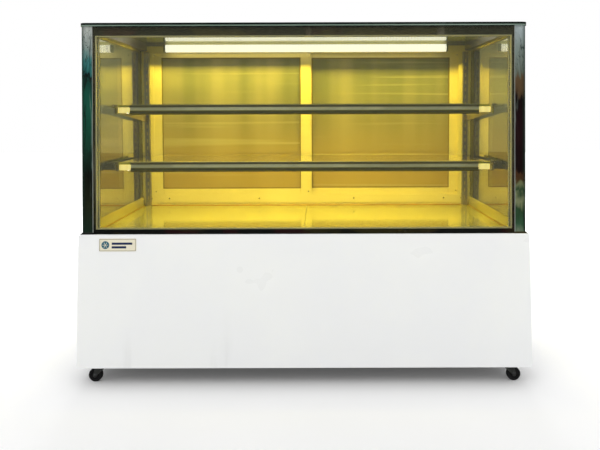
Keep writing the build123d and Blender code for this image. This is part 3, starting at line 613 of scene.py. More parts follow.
@dataclass(frozen=True)
class Lamp:
    """Lit opal cover with a soft row of brighter spots.

    Attributes:
        name: the material's name.
        colour: colour of the cover.
        glow: colour of its light.
        power: strength of the light.
        pitch: distance between the spots.
    """

    name: str
    colour: Colour
    glow: Colour
    power: float
    pitch: float

    def material(self) -> Material:
        """Builds the material."""
        graph = Graph(self.name)
        wave = graph.sum("SINE", graph.times(graph.axis("X"), 2 * pi / self.pitch), 0.0)
        clouds = graph.noise(6.0, 2.0)
        strength = graph.fade(wave, -1.0, 1.0, self.power * 0.8, self.power * 1.15)
        colour = graph.mix(clouds, self.colour, dimmed(self.colour, 0.94))
        return graph.done(graph.shader(
            Base_Color=colour, Roughness=0.4, Emission_Color=self.glow, Emission_Strength=strength,
        ))


@dataclass(frozen=True)
class FloorFinish:
    """Pale studio floor with painted shade: dim and warm where it is seen through the case's glass, dark
    where mirrored; for the camera it glows more with distance, to fade into the white backdrop.

    Attributes:
        name: the material's name.
    """

    name: str

    def material(self) -> Material:
        """Builds the material."""
        graph = Graph(self.name)
        tone = graph.noise(1.5)
        pale = graph.mix(graph.fade(tone, 0.3, 0.7), dimmed(WHITE, 0.93), dimmed(WHITE, 0.91))
        # painted shade: a dim warm floor through the glass and a dark floor in reflections
        colour = graph.mix(graph.ray("Transmission"), pale, (0.30, 0.29, 0.17))
        colour = graph.mix(graph.ray("Glossy"), colour, (0.07, 0.07, 0.06))
        distance = graph.node("ShaderNodeVectorMath", operation="LENGTH")
        graph.feed(distance.inputs[0], graph.coordinates)
        glow = graph.fade(distance.outputs["Value"], 1.0, 3.2, 0.06, 0.45)
        return graph.done(graph.shader(
            Base_Color=colour, Roughness=0.9, Specular_IOR_Level=0.0, Emission_Color=WHITE,
            Emission_Strength=graph.times(graph.ray("Camera"), glow),
        ))


@dataclass(frozen=True)
class RailFinish:
    """Chromed rail whose colour holds painted reflections: dark and bright stripes along its height, the
    bright one a painted highlight.

    Attributes:
        name: the material's name.
        lower: height of the lower rail's foot.
        upper: height of the upper rail's foot.
        height: height of a rail.
    """

    name: str
    lower: float
    upper: float
    height: float

    # Painted reflection colours up a rail, from its foot to its head, with a painted highlight stripe in the
    # middle.
    PAINTED_REFLECTION_STOPS: Stops = (
        (0.00, (0.060, 0.052, 0.010)), (0.10, (0.150, 0.130, 0.030)), (0.22, (0.030, 0.026, 0.006)),
        (0.36, (0.090, 0.076, 0.016)), (0.42, (0.700, 0.640, 0.260)), (0.46, (0.990, 0.970, 0.780)),
        (0.70, (0.990, 0.970, 0.780)), (0.74, (0.180, 0.150, 0.070)), (0.78, (0.035, 0.028, 0.022)),
        (0.88, (0.060, 0.050, 0.045)), (0.95, (0.360, 0.330, 0.200)), (1.00, (0.700, 0.640, 0.360)),
    )

    def material(self) -> Material:
        """Builds the material."""
        graph = Graph(self.name)
        height = graph.axis("Z")
        is_upper = graph.sum("GREATER_THAN", height, (self.lower + self.upper) / 2)
        level = graph.sum("SUBTRACT", height, graph.times(is_upper, self.upper - self.lower))
        rise = graph.fade(level, self.lower, self.lower + self.height, shape="LINEAR")
        ripple = graph.noise(5.0, 3.0, graph.place((1.0, 0.1, 0.1)))
        # painted reflection stripes up each rail, with dark olive painted reflection patches
        painted_reflection_bands = graph.ramp(graph.sway(rise, ripple, 0.05), self.PAINTED_REFLECTION_STOPS)
        colour = graph.mix(graph.fade(ripple, 0.4, 0.65, 0.0, 0.35), painted_reflection_bands, (0.10, 0.085, 0.02))
        return graph.done(graph.shader(
            Base_Color=colour, Metallic=0.15, Roughness=graph.fade(ripple, 0.3, 0.7, 0.14, 0.22),
            Coat_Weight=0.3, Coat_Roughness=0.05,
        ))


def build_finishes() -> dict[str, Material]:
    """Makes one material for each of the record's slots.

    Returns:
        Materials by slot name.
    """
    post_low, post_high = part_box("front_posts")
    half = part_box("front_glass_outer")[1].x
    kinds = (
        Paint("white_paint", (0.89, 0.90, 0.89), (0.87, 0.88, 0.885), 0.3, coat=0.2, marks=0.25),
        Paint("frame_steel", (0.10, 0.105, 0.11), (0.07, 0.075, 0.08), 0.45),
        Metal("galvanised_sheet", (0.62, 0.64, 0.65), (0.42, 0.44, 0.46), 0.42, spangle=55.0),
        Metal("zinc_screw", (0.66, 0.67, 0.68), (0.45, 0.46, 0.48), 0.25),
        Paint("badge_cream", (0.86, 0.82, 0.66), (0.80, 0.75, 0.58), 0.3, coat=0.4),
        Paint("well_liner", (0.80, 0.81, 0.80), (0.72, 0.73, 0.72), 0.5),
        Metal("coil_aluminium", (0.74, 0.76, 0.78), (0.5, 0.52, 0.54), 0.35, (1.0, 0.03, 1.0)),
        Paint("black_plastic", (0.018, 0.018, 0.020), (0.030, 0.030, 0.032), 0.5, 900.0, 0.0001),
        Paint("black_paint", (0.012, 0.012, 0.013), (0.022, 0.022, 0.023), 0.2, coat=0.6),
        Metal("copper_pipe", (0.78, 0.40, 0.24), (0.42, 0.20, 0.12), 0.3, (1.0, 1.0, 1.0)),
        Paint("grey_plastic", (0.22, 0.23, 0.24), (0.17, 0.175, 0.18), 0.45, 900.0, 0.00008),
        Paint("rocker_black", (0.010, 0.010, 0.011), (0.018, 0.018, 0.019), 0.18, coat=0.7),
        PostMirror("polished_steel", post_low.z, post_high.z, half, post_high.x - half),
        Metal("brushed_steel", (0.56, 0.53, 0.52), (0.34, 0.32, 0.33), 0.32, (1.0, 1.0, 0.03)),
        Glass("clear_glass", (0.985, 0.995, 0.985), (0.90, 0.93, 0.90)),
        BlackMirror(
            "black_border", (0.0025, 0.004, 0.003), (0.040, 0.032, 0.006), (0.022, 0.003, 0.004),
            (0.30, 0.26, 0.22),
        ),
        BlackMirror(
            "lid_black_glass", (0.004, 0.008, 0.006), (0.012, 0.020, 0.014), (0.008, 0.012, 0.010),
            (0.03, 0.04, 0.035), 0.6,
        ),
        Paint("lid_edge_glass", (0.20, 0.27, 0.22), (0.10, 0.16, 0.12), 0.1, coat=1.0),
        # painted warm light: the yellow tint of the deck steel and of the pale door aluminium stands in for
        # the warm lamplight on them
        Metal("deck_steel", (0.58, 0.53, 0.24), (0.50, 0.44, 0.18), 0.07, metallic=0.4),
        Metal("door_aluminium", (0.86, 0.78, 0.42), (0.78, 0.69, 0.34), 0.34, metallic=0.15),
        DoorPane(
            "door_pane", (0.42, 0.41, 0.33), (0.24, 0.26, 0.19), (0.58, 0.42, 0.15), (0.80, 0.76, 0.50),
            (0.30, 0.26, 0.07), 0.28,
        ),
        Lamp("lamp_cover", (0.95, 0.93, 0.85), (1.0, 0.96, 0.78), 1.05, 0.0125),
        Metal("chrome_rail", (0.64, 0.62, 0.55), (0.50, 0.48, 0.42), 0.12, metallic=0.95),
        Metal("zinc_caster", (0.46, 0.47, 0.49), (0.28, 0.29, 0.31), 0.3, (1.0, 1.0, 1.0)),
        Paint("wheel_rubber", (0.009, 0.009, 0.010), (0.016, 0.016, 0.017), 0.28, 600.0, coat=0.35),
    )
    return {kind.name: kind.material() for kind in kinds}


def dress_frame(finishes: dict[str, Material]) -> None:
    """Gives every CAD node the finish of its slot, or a finish of its own for the side glass and the shelf
    light bars.

    Args:
        finishes: materials by slot.
    """
    warm = Lamp("warm_bar", (0.90, 0.84, 0.55), (1.0, 0.78, 0.20), 0.75, CHIP_PITCH).material()
    coated = Glass("coated_side_glass", (0.98, 0.98, 0.88), (0.90, 0.93, 0.84), 2.3).material()
    special = {"left_side_glass": coated, "right_side_glass": coated, "shelf_light_bars": warm}
    for part in frame["record"]["subparts"]:
        node, slot = part["node"], part["material_slot"]
        materials = NODES[node].data.materials
        materials.clear()
        materials.append(special.get(node, finishes[slot]))


# ---------------------------------------------------------------- mesh helpers
def add_box(bm: BMesh, low: Point, high: Point) -> list[BMVert]:
    """Adds a box between two corners.

    Args:
        bm: the mesh.
        low: its lowest corner.
        high: its highest corner.

    Returns:
        Its vertices.
    """
    size = Vector(high) - Vector(low)
    middle = (Vector(high) + Vector(low)) / 2
    matrix = Matrix.Translation(middle) @ Matrix.Diagonal((*size, 1.0))
    return bmesh.ops.create_cube(bm, size=1.0, matrix=matrix)["verts"]


def add_round(bm: BMesh, centre: Point, axis: Axis, radius: float, length: float,
              sides: int = 32) -> list[BMVert]:
    """Adds a round bar about its centre.

    Args:
        bm: the mesh.
        centre: the middle of its length.
        axis: the way it points.
        radius: its radius.
        length: its length.
        sides: flats round it.

    Returns:
        Its vertices.
    """
    return bmesh.ops.create_cone(
        bm, cap_ends=True, segments=sides, radius1=radius, radius2=radius,
        depth=length, matrix=Matrix.Translation(centre) @ axis.value,
    )["verts"]


def add_window(bm: BMesh, low: Point, high: Point, band: float) -> None:
    """Adds a rectangular frame standing in the X-Z plane, with a thickness along Y.

    Args:
        bm: the mesh.
        low: its lowest corner.
        high: its highest corner.
        band: the width of its bars.
    """
    upright = Matrix.Rotation(pi / 2, 4, "X")
    middle = Vector(((low[0] + high[0]) / 2, low[1], (low[2] + high[2]) / 2))
    spread = Matrix.Diagonal((high[0] - low[0], high[2] - low[2], 1.0, 1.0))
    made = bmesh.ops.create_grid(
        bm, x_segments=1, y_segments=1, size=0.5, matrix=Matrix.Translation(middle) @ upright @ spread
    )
    face = made["verts"][0].link_faces[0]
    ring = bmesh.ops.inset_region(
        bm, faces=[face], thickness=band, use_even_offset=True, use_boundary=True
    )["faces"]
    bmesh.ops.delete(bm, geom=[face], context="FACES")
    pushed = bmesh.ops.extrude_face_region(bm, geom=ring)["geom"]
    moved = [item for item in pushed if isinstance(item, BMVert)]
    bmesh.ops.translate(bm, verts=moved, vec=(0.0, high[1] - low[1], 0.0))


def lean_back(bm: BMesh, slope: float, from_z: float) -> None:
    """Shears the mesh so that it leans with the front.

    Args:
        bm: the mesh.
        slope: how far it moves along Y for each metre up.
        from_z: the height that stays in place.
    """
    shear = Matrix.Identity(4)
    shear[1][2] = slope
    shear[1][3] = -slope * from_z
    bmesh.ops.transform(bm, matrix=shear, verts=bm.verts)


def soften(bm: BMesh, width: float, segments: int = 2) -> None:
    """Rounds the mesh's sharp edges.

    Args:
        bm: the mesh.
        width: the rounding's width.
        segments: faces across the rounding.
    """
    bmesh.ops.recalc_face_normals(bm, faces=bm.faces)
    sharp = [edge for edge in bm.edges if len(edge.link_faces) == 2 and edge.calc_face_angle() > radians(40)]
    bmesh.ops.bevel(
        bm, geom=sharp, offset=width, offset_type="OFFSET", affect="EDGES", segments=segments, profile=0.5,
        material=-1, clamp_overlap=True,
    )


def finish_piece(bm: BMesh, name: str, body: str, material: Material) -> Object:
    """Turns a mesh into a named piece that rides on a body.

    Args:
        bm: the mesh, which is freed.
        name: the piece's name.
        body: the body that it moves with.
        material: its finish.

    Returns:
        The new object.
    """
    bmesh.ops.recalc_face_normals(bm, faces=bm.faces)
    mesh = bpy.data.meshes.new(name)
    bm.to_mesh(mesh)
    bm.free()
    mesh.materials.append(material)
    for polygon in mesh.polygons:
        polygon.use_smooth = True
    mesh.set_sharp_from_angle(angle=radians(35))
    piece = bpy.data.objects.new(name, mesh)
    bpy.context.scene.collection.objects.link(piece)
    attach(piece, body)
    LOG.info("piece %s on %s", name, body)
    return piece


@dataclass
class SubAssembly:
    """A group of pieces with shared finishes.

    Attributes:
        finishes: materials by slot.
    """

    finishes: dict[str, Material]

    def add(self, bm: BMesh, name: str, slot: str, body: str = CABINET,
            material: Optional[Material] = None) -> Object:
        """Finishes a mesh as a piece of this group.

        Args:
            bm: the mesh.
            name: the piece's name.
            slot: the record's material slot.
            body: the body that it moves with.
            material: a finish of its own, or None for the slot's.

        Returns:
            The new object.
        """
        return finish_piece(bm, name, body, material or self.finishes[slot])


# ---------------------------------------------------------------- leaning front
@dataclass(frozen=True)
class FrontPlane:
    """A front face that leans back, read from the frame.

    Attributes:
        foot_y: its Y at its foot.
        foot_z: the height of its foot.
        slope: how far it moves back for each metre up.
    """

    foot_y: float
    foot_z: float
    slope: float

    def y_at(self, z: float) -> float:
        """Y of the face at height z."""
        return self.foot_y + (z - self.foot_z) * self.slope


def glass_plane() -> FrontPlane:
    """Outer face of the front glass."""
    low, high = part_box("front_glass_outer")
    return FrontPlane(low.y, low.z, (high.y - PANE - low.y) / (high.z - low.z))


def base_plane() -> FrontPlane:
    """Front face of the base cabinet: its box is read less the flange that runs back from its top."""
    low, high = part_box("front_panel")
    return FrontPlane(low.y, low.z, (high.y - FLANGE - low.y) / (high.z - low.z))


# ---------------------------------------------------------------- base cabinet
@dataclass
class Base(SubAssembly):
    """Badge marks and cap screws of the base cabinet.

    Attributes:
        disc_radius: radius of the badge's disc.
        plate: how far the badge's plate stands proud of the cabinet.
    """

    disc_radius: float = 0.0128
    plate: float = 0.0018

    def badge(self) -> None:
        """Dresses the badge with a plain rim line, a disc with three crossed rays and two plain bars."""
        low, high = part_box("badge_plate")
        plane = base_plane()
        middle_z = (low.z + high.z) / 2
        face_y = plane.y_at(middle_z) - self.plate
        brown = Paint("badge_rim", (0.14, 0.075, 0.03), (0.10, 0.05, 0.02), 0.35).material()
        teal = Paint("badge_disc", (0.02, 0.17, 0.22), (0.015, 0.11, 0.17), 0.3, coat=0.4).material()
        navy = Paint("badge_bars", (0.012, 0.030, 0.110), (0.010, 0.022, 0.080), 0.3, coat=0.4).material()
        inset, line = 0.0016, 0.001
        bm = bmesh.new()
        add_window(
            bm, (low.x + inset, face_y, low.z + inset), (high.x - inset, face_y + FILM, high.z - inset), line
        )
        lean_back(bm, plane.slope, middle_z)
        self.add(bm, "badge_rim_line", "badge_cream", material=brown)
        centre = Vector((low.x + 0.021, face_y, middle_z))
        bm = bmesh.new()
        add_round(bm, centre, Axis.Y, self.disc_radius, 2 * FILM, sides=48)
        lean_back(bm, plane.slope, middle_z)
        self.add(bm, "badge_disc", "badge_cream", material=teal)
        bm = bmesh.new()
        reach, half_ray = self.disc_radius * 0.75, 0.0007
        for turn in range(3):
            made = add_box(bm, (-reach, -FILM / 2, -half_ray), (reach, FILM / 2, half_ray))
            spin = Matrix.Rotation(pi * turn / 3, 4, "Y")
            shift = Matrix.Translation((centre.x, face_y - FILM, middle_z))
            bmesh.ops.transform(bm, matrix=shift @ spin, verts=made)
        lean_back(bm, plane.slope, middle_z)
        self.add(bm, "badge_disc_rays", "badge_cream")
        bm = bmesh.new()
        start, half_bar = low.x + 0.042, 0.0036
        for offset, length in ((0.0045, 0.068), (-0.0075, 0.048)):
            z = middle_z + offset
            add_box(bm, (start, face_y, z - half_bar), (start + length, face_y + FILM, z + half_bar))
        soften(bm, 0.0003, 1)
        lean_back(bm, plane.slope, middle_z)
        self.add(bm, "badge_bars", "badge_cream", material=navy)

    def side_screws(self) -> None:
        """Adds the cap screws that hold each end panel to the frame."""
        low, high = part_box("end_panels")
        margin, radius = 0.03, 0.0045
        for side in Side:
            face_x = side.value * (high.x - FILM / 2)
            bm = bmesh.new()
            for y in (low.y + 0.05, 0.0, high.y - 0.04):
                for z in (low.z + margin, (low.z + high.z) / 2, high.z - margin):
                    add_round(bm, (face_x, y, z), Axis.X, radius, FILM, sides=20)
            self.add(bm, f"{side.name.lower()}_panel_plugs", "white_paint")

    def build(self) -> None:
        """Builds the group."""
        self.badge()
        self.side_screws()


# ---------------------------------------------------------------- glazing
@dataclass
class Glazing(SubAssembly):
    """Spacers, beads and shoes of the front and side glass.

    Attributes:
        spacer: width of the spacer bar inside the border.
        seal: width of the clear seal in each inner corner.
    """

    spacer: float = 0.004
    seal: float = 0.005

    def leaning_window(self, low: Point, high: Point, band: float) -> BMesh:
        """Makes a frame parallel to the front glass.

        Args:
            low: its lowest corner, with Y measured back from the glass's outer face.
            high: its highest corner, likewise.
            band: the width of its bars.

        Returns:
            The mesh.
        """
        bm = bmesh.new()
        plane = glass_plane()
        start = plane.y_at(low[2])
        add_window(bm, (low[0], start + low[1], low[2]), (high[0], start + high[1], high[2]), band)
        lean_back(bm, plane.slope, low[2])
        return bm

    def front_spacer(self) -> None:
        """Adds the spacer frame just inside the black border, between the panes; its bright pale yellow
        colour is painted light.
        """
        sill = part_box("front_glass_border")[0].z + 0.016
        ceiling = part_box("canopy_frame")[0].z
        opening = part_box("front_glass_outer")[1].x - 0.0078
        play = 0.001
        bm = self.leaning_window(
            (-opening, PANE + play, sill), (opening, PANE + AIR_GAP - play, ceiling), self.spacer
        )
        # painted light: the spacer's bright pale yellow colour stands in for lamplight that it would catch
        bright = Metal("spacer_bar", (0.90, 0.84, 0.52), (0.82, 0.74, 0.42), 0.4, metallic=0.1).material()
        self.add(bm, "front_glass_spacer", "door_aluminium", material=bright)

    def inner_seals(self) -> None:
        """Adds the pale bead of clear seal along the inner edge of the front glass."""
        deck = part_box("deck_panels")[1].z + FILM
        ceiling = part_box("canopy_frame")[0].z
        behind = 2 * PANE + AIR_GAP + FILM
        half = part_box("right_side_glass")[0].x - FILM
        bm = self.leaning_window((-half, behind, deck), (half, behind + self.seal, ceiling), self.seal)
        soften(bm, 0.0012)
        pale = Paint("clear_seal", (0.88, 0.85, 0.62), (0.80, 0.76, 0.50), 0.25, coat=0.6).material()
        self.add(bm, "front_glass_seal", "grey_plastic", material=pale)

    def post_beads(self) -> None:
        """Adds the thin grey bead between each post and the front glass."""
        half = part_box("front_glass_outer")[1].x
        low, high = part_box("front_posts")
        plane = glass_plane()
        y = plane.y_at(low.z)
        short = 0.001
        bm = bmesh.new()
        for side in Side:
            start, end = side.span(half - FILM, half + 0.0014)
            add_box(bm, (start, y - 0.0003, low.z + short), (end, y + 0.0006, high.z - short))
        lean_back(bm, plane.slope, low.z)
        bead = Paint("glazing_bead", (0.30, 0.32, 0.30), (0.20, 0.22, 0.20), 0.4).material()
        self.add(bm, "post_beads", "grey_plastic", material=bead)

    def post_shoes(self) -> None:
        """Adds the dark shoe round each post's foot."""
        low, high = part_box("front_posts")
        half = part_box("front_glass_outer")[1].x
        bm = bmesh.new()
        for side in Side:
            start, end = side.span(half - 0.002, high.x + 0.0085)
            made = add_box(bm, (start, low.y - 0.0025, low.z), (end, low.y + 0.045, low.z + 0.006))
            top = [vertex for vertex in made if vertex.co.z > low.z + 0.003 and abs(vertex.co.x) > high.x]
            bmesh.ops.translate(bm, verts=top, vec=(-side.value * 0.007, 0.0, 0.0))
        soften(bm, 0.0006)
        self.add(bm, "post_shoes", "black_border")

    def side_spacers(self) -> None:
        """Adds the spacer bar inside each side glass's border."""
        bar, behind_front, half_bar = 0.014, 0.036, 0.0035
        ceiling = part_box("canopy_frame")[0].z
        for side in Side:
            low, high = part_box(f"{side.name.lower()}_side_glass")
            x = (low.x + high.x) / 2
            bm = bmesh.new()
            for z in (low.z + bar, ceiling - self.spacer):
                front = glass_plane().y_at(z) + behind_front
                add_box(bm, (x - half_bar, front, z), (x + half_bar, high.y - 0.001, z + self.spacer))
            self.add(bm, f"{side.name.lower()}_glass_spacer", "door_aluminium")

    def build(self) -> None:
        """Builds the group."""
        self.front_spacer()
        self.inner_seals()
        self.post_beads()
        self.post_shoes()
        self.side_spacers()


# ---------------------------------------------------------------- inside of the case
@dataclass
class Interior(SubAssembly):
    """Deck trims, track screws and lamp fittings.

    Attributes:
        chip: half the width of a light chip.
    """

    chip: float = 0.0016

    def deck_trim(self) -> None:
        """Adds the seam strip at the back of the deck and the two dark lines of each coaming."""
        low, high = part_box("deck_panels")
        bm = bmesh.new()
        reach = -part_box("shelf_uprights")[0].x - 0.024
        add_box(bm, (-reach, high.y - 0.006, high.z), (reach, high.y - 0.0005, high.z + 0.0022))
        soften(bm, 0.0006)
        seam = Paint("deck_seam", (0.42, 0.20, 0.035), (0.34, 0.15, 0.025), 0.5).material()
        self.add(bm, "deck_rear_seal", "deck_steel", material=seam)
        bm = bmesh.new()
        for side in Side:
            for gap in (0.0008, 0.0026):
                start, end = side.span(high.x + gap, high.x + gap + 0.0006)
                add_box(bm, (start, low.y + 0.01, high.z - 0.004), (end, high.y - 0.001, high.z + 0.0008))
        self.add(bm, "coaming_seals", "deck_steel", material=seam)

    def track_screws(self) -> None:
        """Adds the slotted screws on the inner face of the door track."""
        low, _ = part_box("door_surround")
        sill_z = low.z + 0.012
        slot = Vector((0.002, 0.00015, 0.0004))
        bm = bmesh.new()
        for side in Side:
            for x in (0.655, 0.580, 0.200):
                centre = (side.value * x, low.y - FILM / 2, sill_z)
                add_round(bm, centre, Axis.Y, 0.0032, 2 * FILM, sides=20)
                bottom = Vector((centre[0], low.y - 0.00075, sill_z))
                add_box(bm, bottom - slot, bottom + slot)
        self.add(bm, "track_screws", "zinc_screw")

    def tube_caps(self) -> None:
        """Adds the end caps of the ceiling lamp's tube."""
        low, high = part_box("light_tube")
        bm = bmesh.new()
        for side in Side:
            start, end = side.span(high.x, high.x + 0.008)
            add_box(bm, (start, low.y - 0.0005, low.z - 0.001), (end, high.y, high.z + 0.001))
        soften(bm, 0.003, 3)
        self.add(bm, "tube_end_caps", "grey_plastic")

    def shelf_chips(self) -> None:
        """Adds the row of light chips under each shelf's light bar."""
        spot = Lamp("light_chip", (0.95, 0.93, 0.8), (1.0, 0.93, 0.72), 22.0, 0.3).material()
        low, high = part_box("shelf_light_bars")
        margin, thick = 0.03, 0.001
        count = int((high.x - low.x - 2 * margin) / CHIP_PITCH)
        front, back = (low.y + high.y) / 2 - self.chip, (low.y + high.y) / 2 + self.chip
        for level, bottom in (("lower", low.z), ("upper", high.z - LIGHT_BAR)):
            bm = bmesh.new()
            for number in range(count):
                x = low.x + margin + number * CHIP_PITCH
                add_box(bm, (x - self.chip, front, bottom - thick), (x + self.chip, back, bottom))
            self.add(bm, f"{level}_shelf_light_chips", "lamp_cover", material=spot)

    def build(self) -> None:
        """Builds the group."""
        self.deck_trim()
        self.track_screws()
        self.tube_caps()
        self.shelf_chips()


# ---------------------------------------------------------------- shelves
@dataclass
class Shelves(SubAssembly):
    """Rolled front rails of the shelves, their clamp screws and the back edges of their glass.

    Attributes:
        height: height of a rail.
        depth: depth of a rail.
        wall: thickness of its sheet.
        glass: thickness of a shelf.
    """

    height: float = 0.036
    depth: float = 0.018
    wall: float = 0.0022
    glass: float = 0.008

    def feet(self) -> tuple[float, float]:
        """Heights of the two rails' lower edges."""
        low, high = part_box("shelf_rails")
        return low.z, high.z - self.height

    def rails(self) -> None:
        """Replaces the plain rails with rolled ones: a shallow bead, a groove and a wider bead below."""
        low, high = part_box("shelf_rails")
        bm = bmesh.new()
        for foot in self.feet():
            self.rolled_bar(bm, (low.x, low.y, foot), high.x - low.x)
        bmesh.ops.remove_doubles(bm, verts=bm.verts, dist=0.00001)
        finish = RailFinish("rolled_rail", *self.feet(), self.height).material()
        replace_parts(self.add(bm, "rolled_shelf_rails", "chrome_rail", material=finish), "shelf_rails")

    def rolled_bar(self, bm: BMesh, corner: Point, length: float) -> None:
        """Adds one rail: a closed outline pushed along X.

        Args:
            bm: the mesh.
            corner: its lowest, foremost left corner.
            length: its length.
        """
        x, y, z = corner
        top = z + self.height
        skin, bulge = 0.0021, 0.0018
        roll, bead, blend, lip = 0.0085, 0.0065, 0.0004, 0.0008

        def arc(middle: float, radius: float) -> list[tuple[float, float]]:
            """Points of a flattened half round, from its foot to its head."""
            turns = [radians(turn) for turn in range(-90, 91, 18)]
            return [(y + bulge - bulge * cos(turn), middle + radius * sin(turn)) for turn in turns]

        lower, upper = arc(z + roll, roll), arc(top - bead, bead)
        groove = [(y + bulge, z + 2 * roll + blend), (y + bulge, top - 2 * bead - blend)]
        back = [(y + 0.012, top), (y + 0.012, top - lip), (y + skin, top - lip),
                (y + skin, z + self.wall), (y + self.depth, z + self.wall), (y + self.depth, z)]
        outline = [*lower, *groove, *upper, *back]
        made = [bm.verts.new((x, *point)) for point in outline]
        face = bm.faces.new(made)
        pushed = bmesh.ops.extrude_face_region(bm, geom=[face])["geom"]
        moved = [item for item in pushed if isinstance(item, BMVert)]
        bmesh.ops.translate(bm, verts=moved, vec=(length, 0.0, 0.0))

    def clamp_screws(self) -> None:
        """Adds the small screw on each end clamp."""
        low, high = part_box("shelf_clamps")
        bm = bmesh.new()
        for foot in self.feet():
            for side in Side:
                centre = (side.value * (high.x - 0.006), low.y, foot + 0.0305)
                add_round(bm, centre, Axis.Y, 0.0022, 0.0006, sides=16)
        self.add(bm, "clamp_screws", "zinc_screw")

    def glass_edges(self) -> None:
        """Adds the polished green edge along the back of each shelf glass."""
        low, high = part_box("shelf_glass")
        short = 0.004
        bm = bmesh.new()
        for bottom in (low.z, high.z - self.glass):
            add_box(bm, (low.x + short, high.y, bottom), (high.x - short, high.y + FILM, bottom + self.glass))
        edge = Paint("shelf_glass_edge", (0.50, 0.52, 0.20), (0.36, 0.40, 0.14), 0.15, coat=0.8).material()
        self.add(bm, "shelf_glass_edges", "lid_edge_glass", material=edge)

    def build(self) -> None:
        """Builds the group."""
        self.rails()
        self.clamp_screws()
        self.glass_edges()


# ---------------------------------------------------------------- doors
@dataclass
class Door(SubAssembly):
    """Rubber beads, corner screws and frame joints of one sliding door.

    Attributes:
        side: which door.
        stile: width of its uprights.
        foot: height of its bottom rail.
        head: height of its top rail.
    """

    side: Side = Side.LEFT
    stile: float = 0.046
    foot: float = 0.040
    head: float = 0.030

    @property
    def label(self) -> str:
        """The door's name in lower case."""
        return self.side.name.lower()

    def beads(self) -> None:
        """Adds the rubber bead round the pane, on the inner and outer face."""
        low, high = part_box(f"{self.label}_door_frame")
        lap, band = 0.0030, 0.0045
        for face, y in (("inner", low.y - FILM), ("outer", high.y - FILM)):
            bm = bmesh.new()
            add_window(
                bm, (low.x + self.stile - lap, y, low.z + self.foot - lap),
                (high.x - self.stile + lap, y + 2 * FILM, high.z - self.head + lap), band,
            )
            self.add(bm, f"{self.label}_door_{face}_bead", "black_border", f"{self.label}_door",
                     Paint("door_bead", (0.20, 0.15, 0.05), (0.14, 0.10, 0.03), 0.5).material())

    def screws(self) -> None:
        """Adds a screw at each corner of the frame, on both faces."""
        low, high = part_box(f"{self.label}_door_frame")
        bm = bmesh.new()
        for x in (low.x + 0.012, high.x - 0.012):
            for z in (low.z + 0.024, high.z - 0.016):
                for y in (low.y, high.y):
                    add_round(bm, (x, y, z), Axis.Y, 0.0028, 2 * FILM, sides=16)
        self.add(bm, f"{self.label}_door_screws", "zinc_screw", f"{self.label}_door")

    def joints(self) -> None:
        """Adds the hairline where each rail meets its stiles."""
        low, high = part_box(f"{self.label}_door_frame")
        half_line, margin = 0.0003, 0.012
        heights = ((low.z + margin, low.z + self.foot), (high.z - self.head, high.z - margin))
        bm = bmesh.new()
        for x in (low.x + self.stile, high.x - self.stile):
            for foot, head in heights:
                add_box(bm, (x - half_line, low.y - 0.0001, foot), (x + half_line, low.y + FILM, head))
        dark = Paint("door_joint", (0.30, 0.22, 0.07), (0.22, 0.16, 0.05), 0.6).material()
        self.add(bm, f"{self.label}_door_joints", "door_aluminium", f"{self.label}_door", dark)

    def build(self) -> None:
        """Builds the group."""
        self.beads()
        self.screws()
        self.joints()


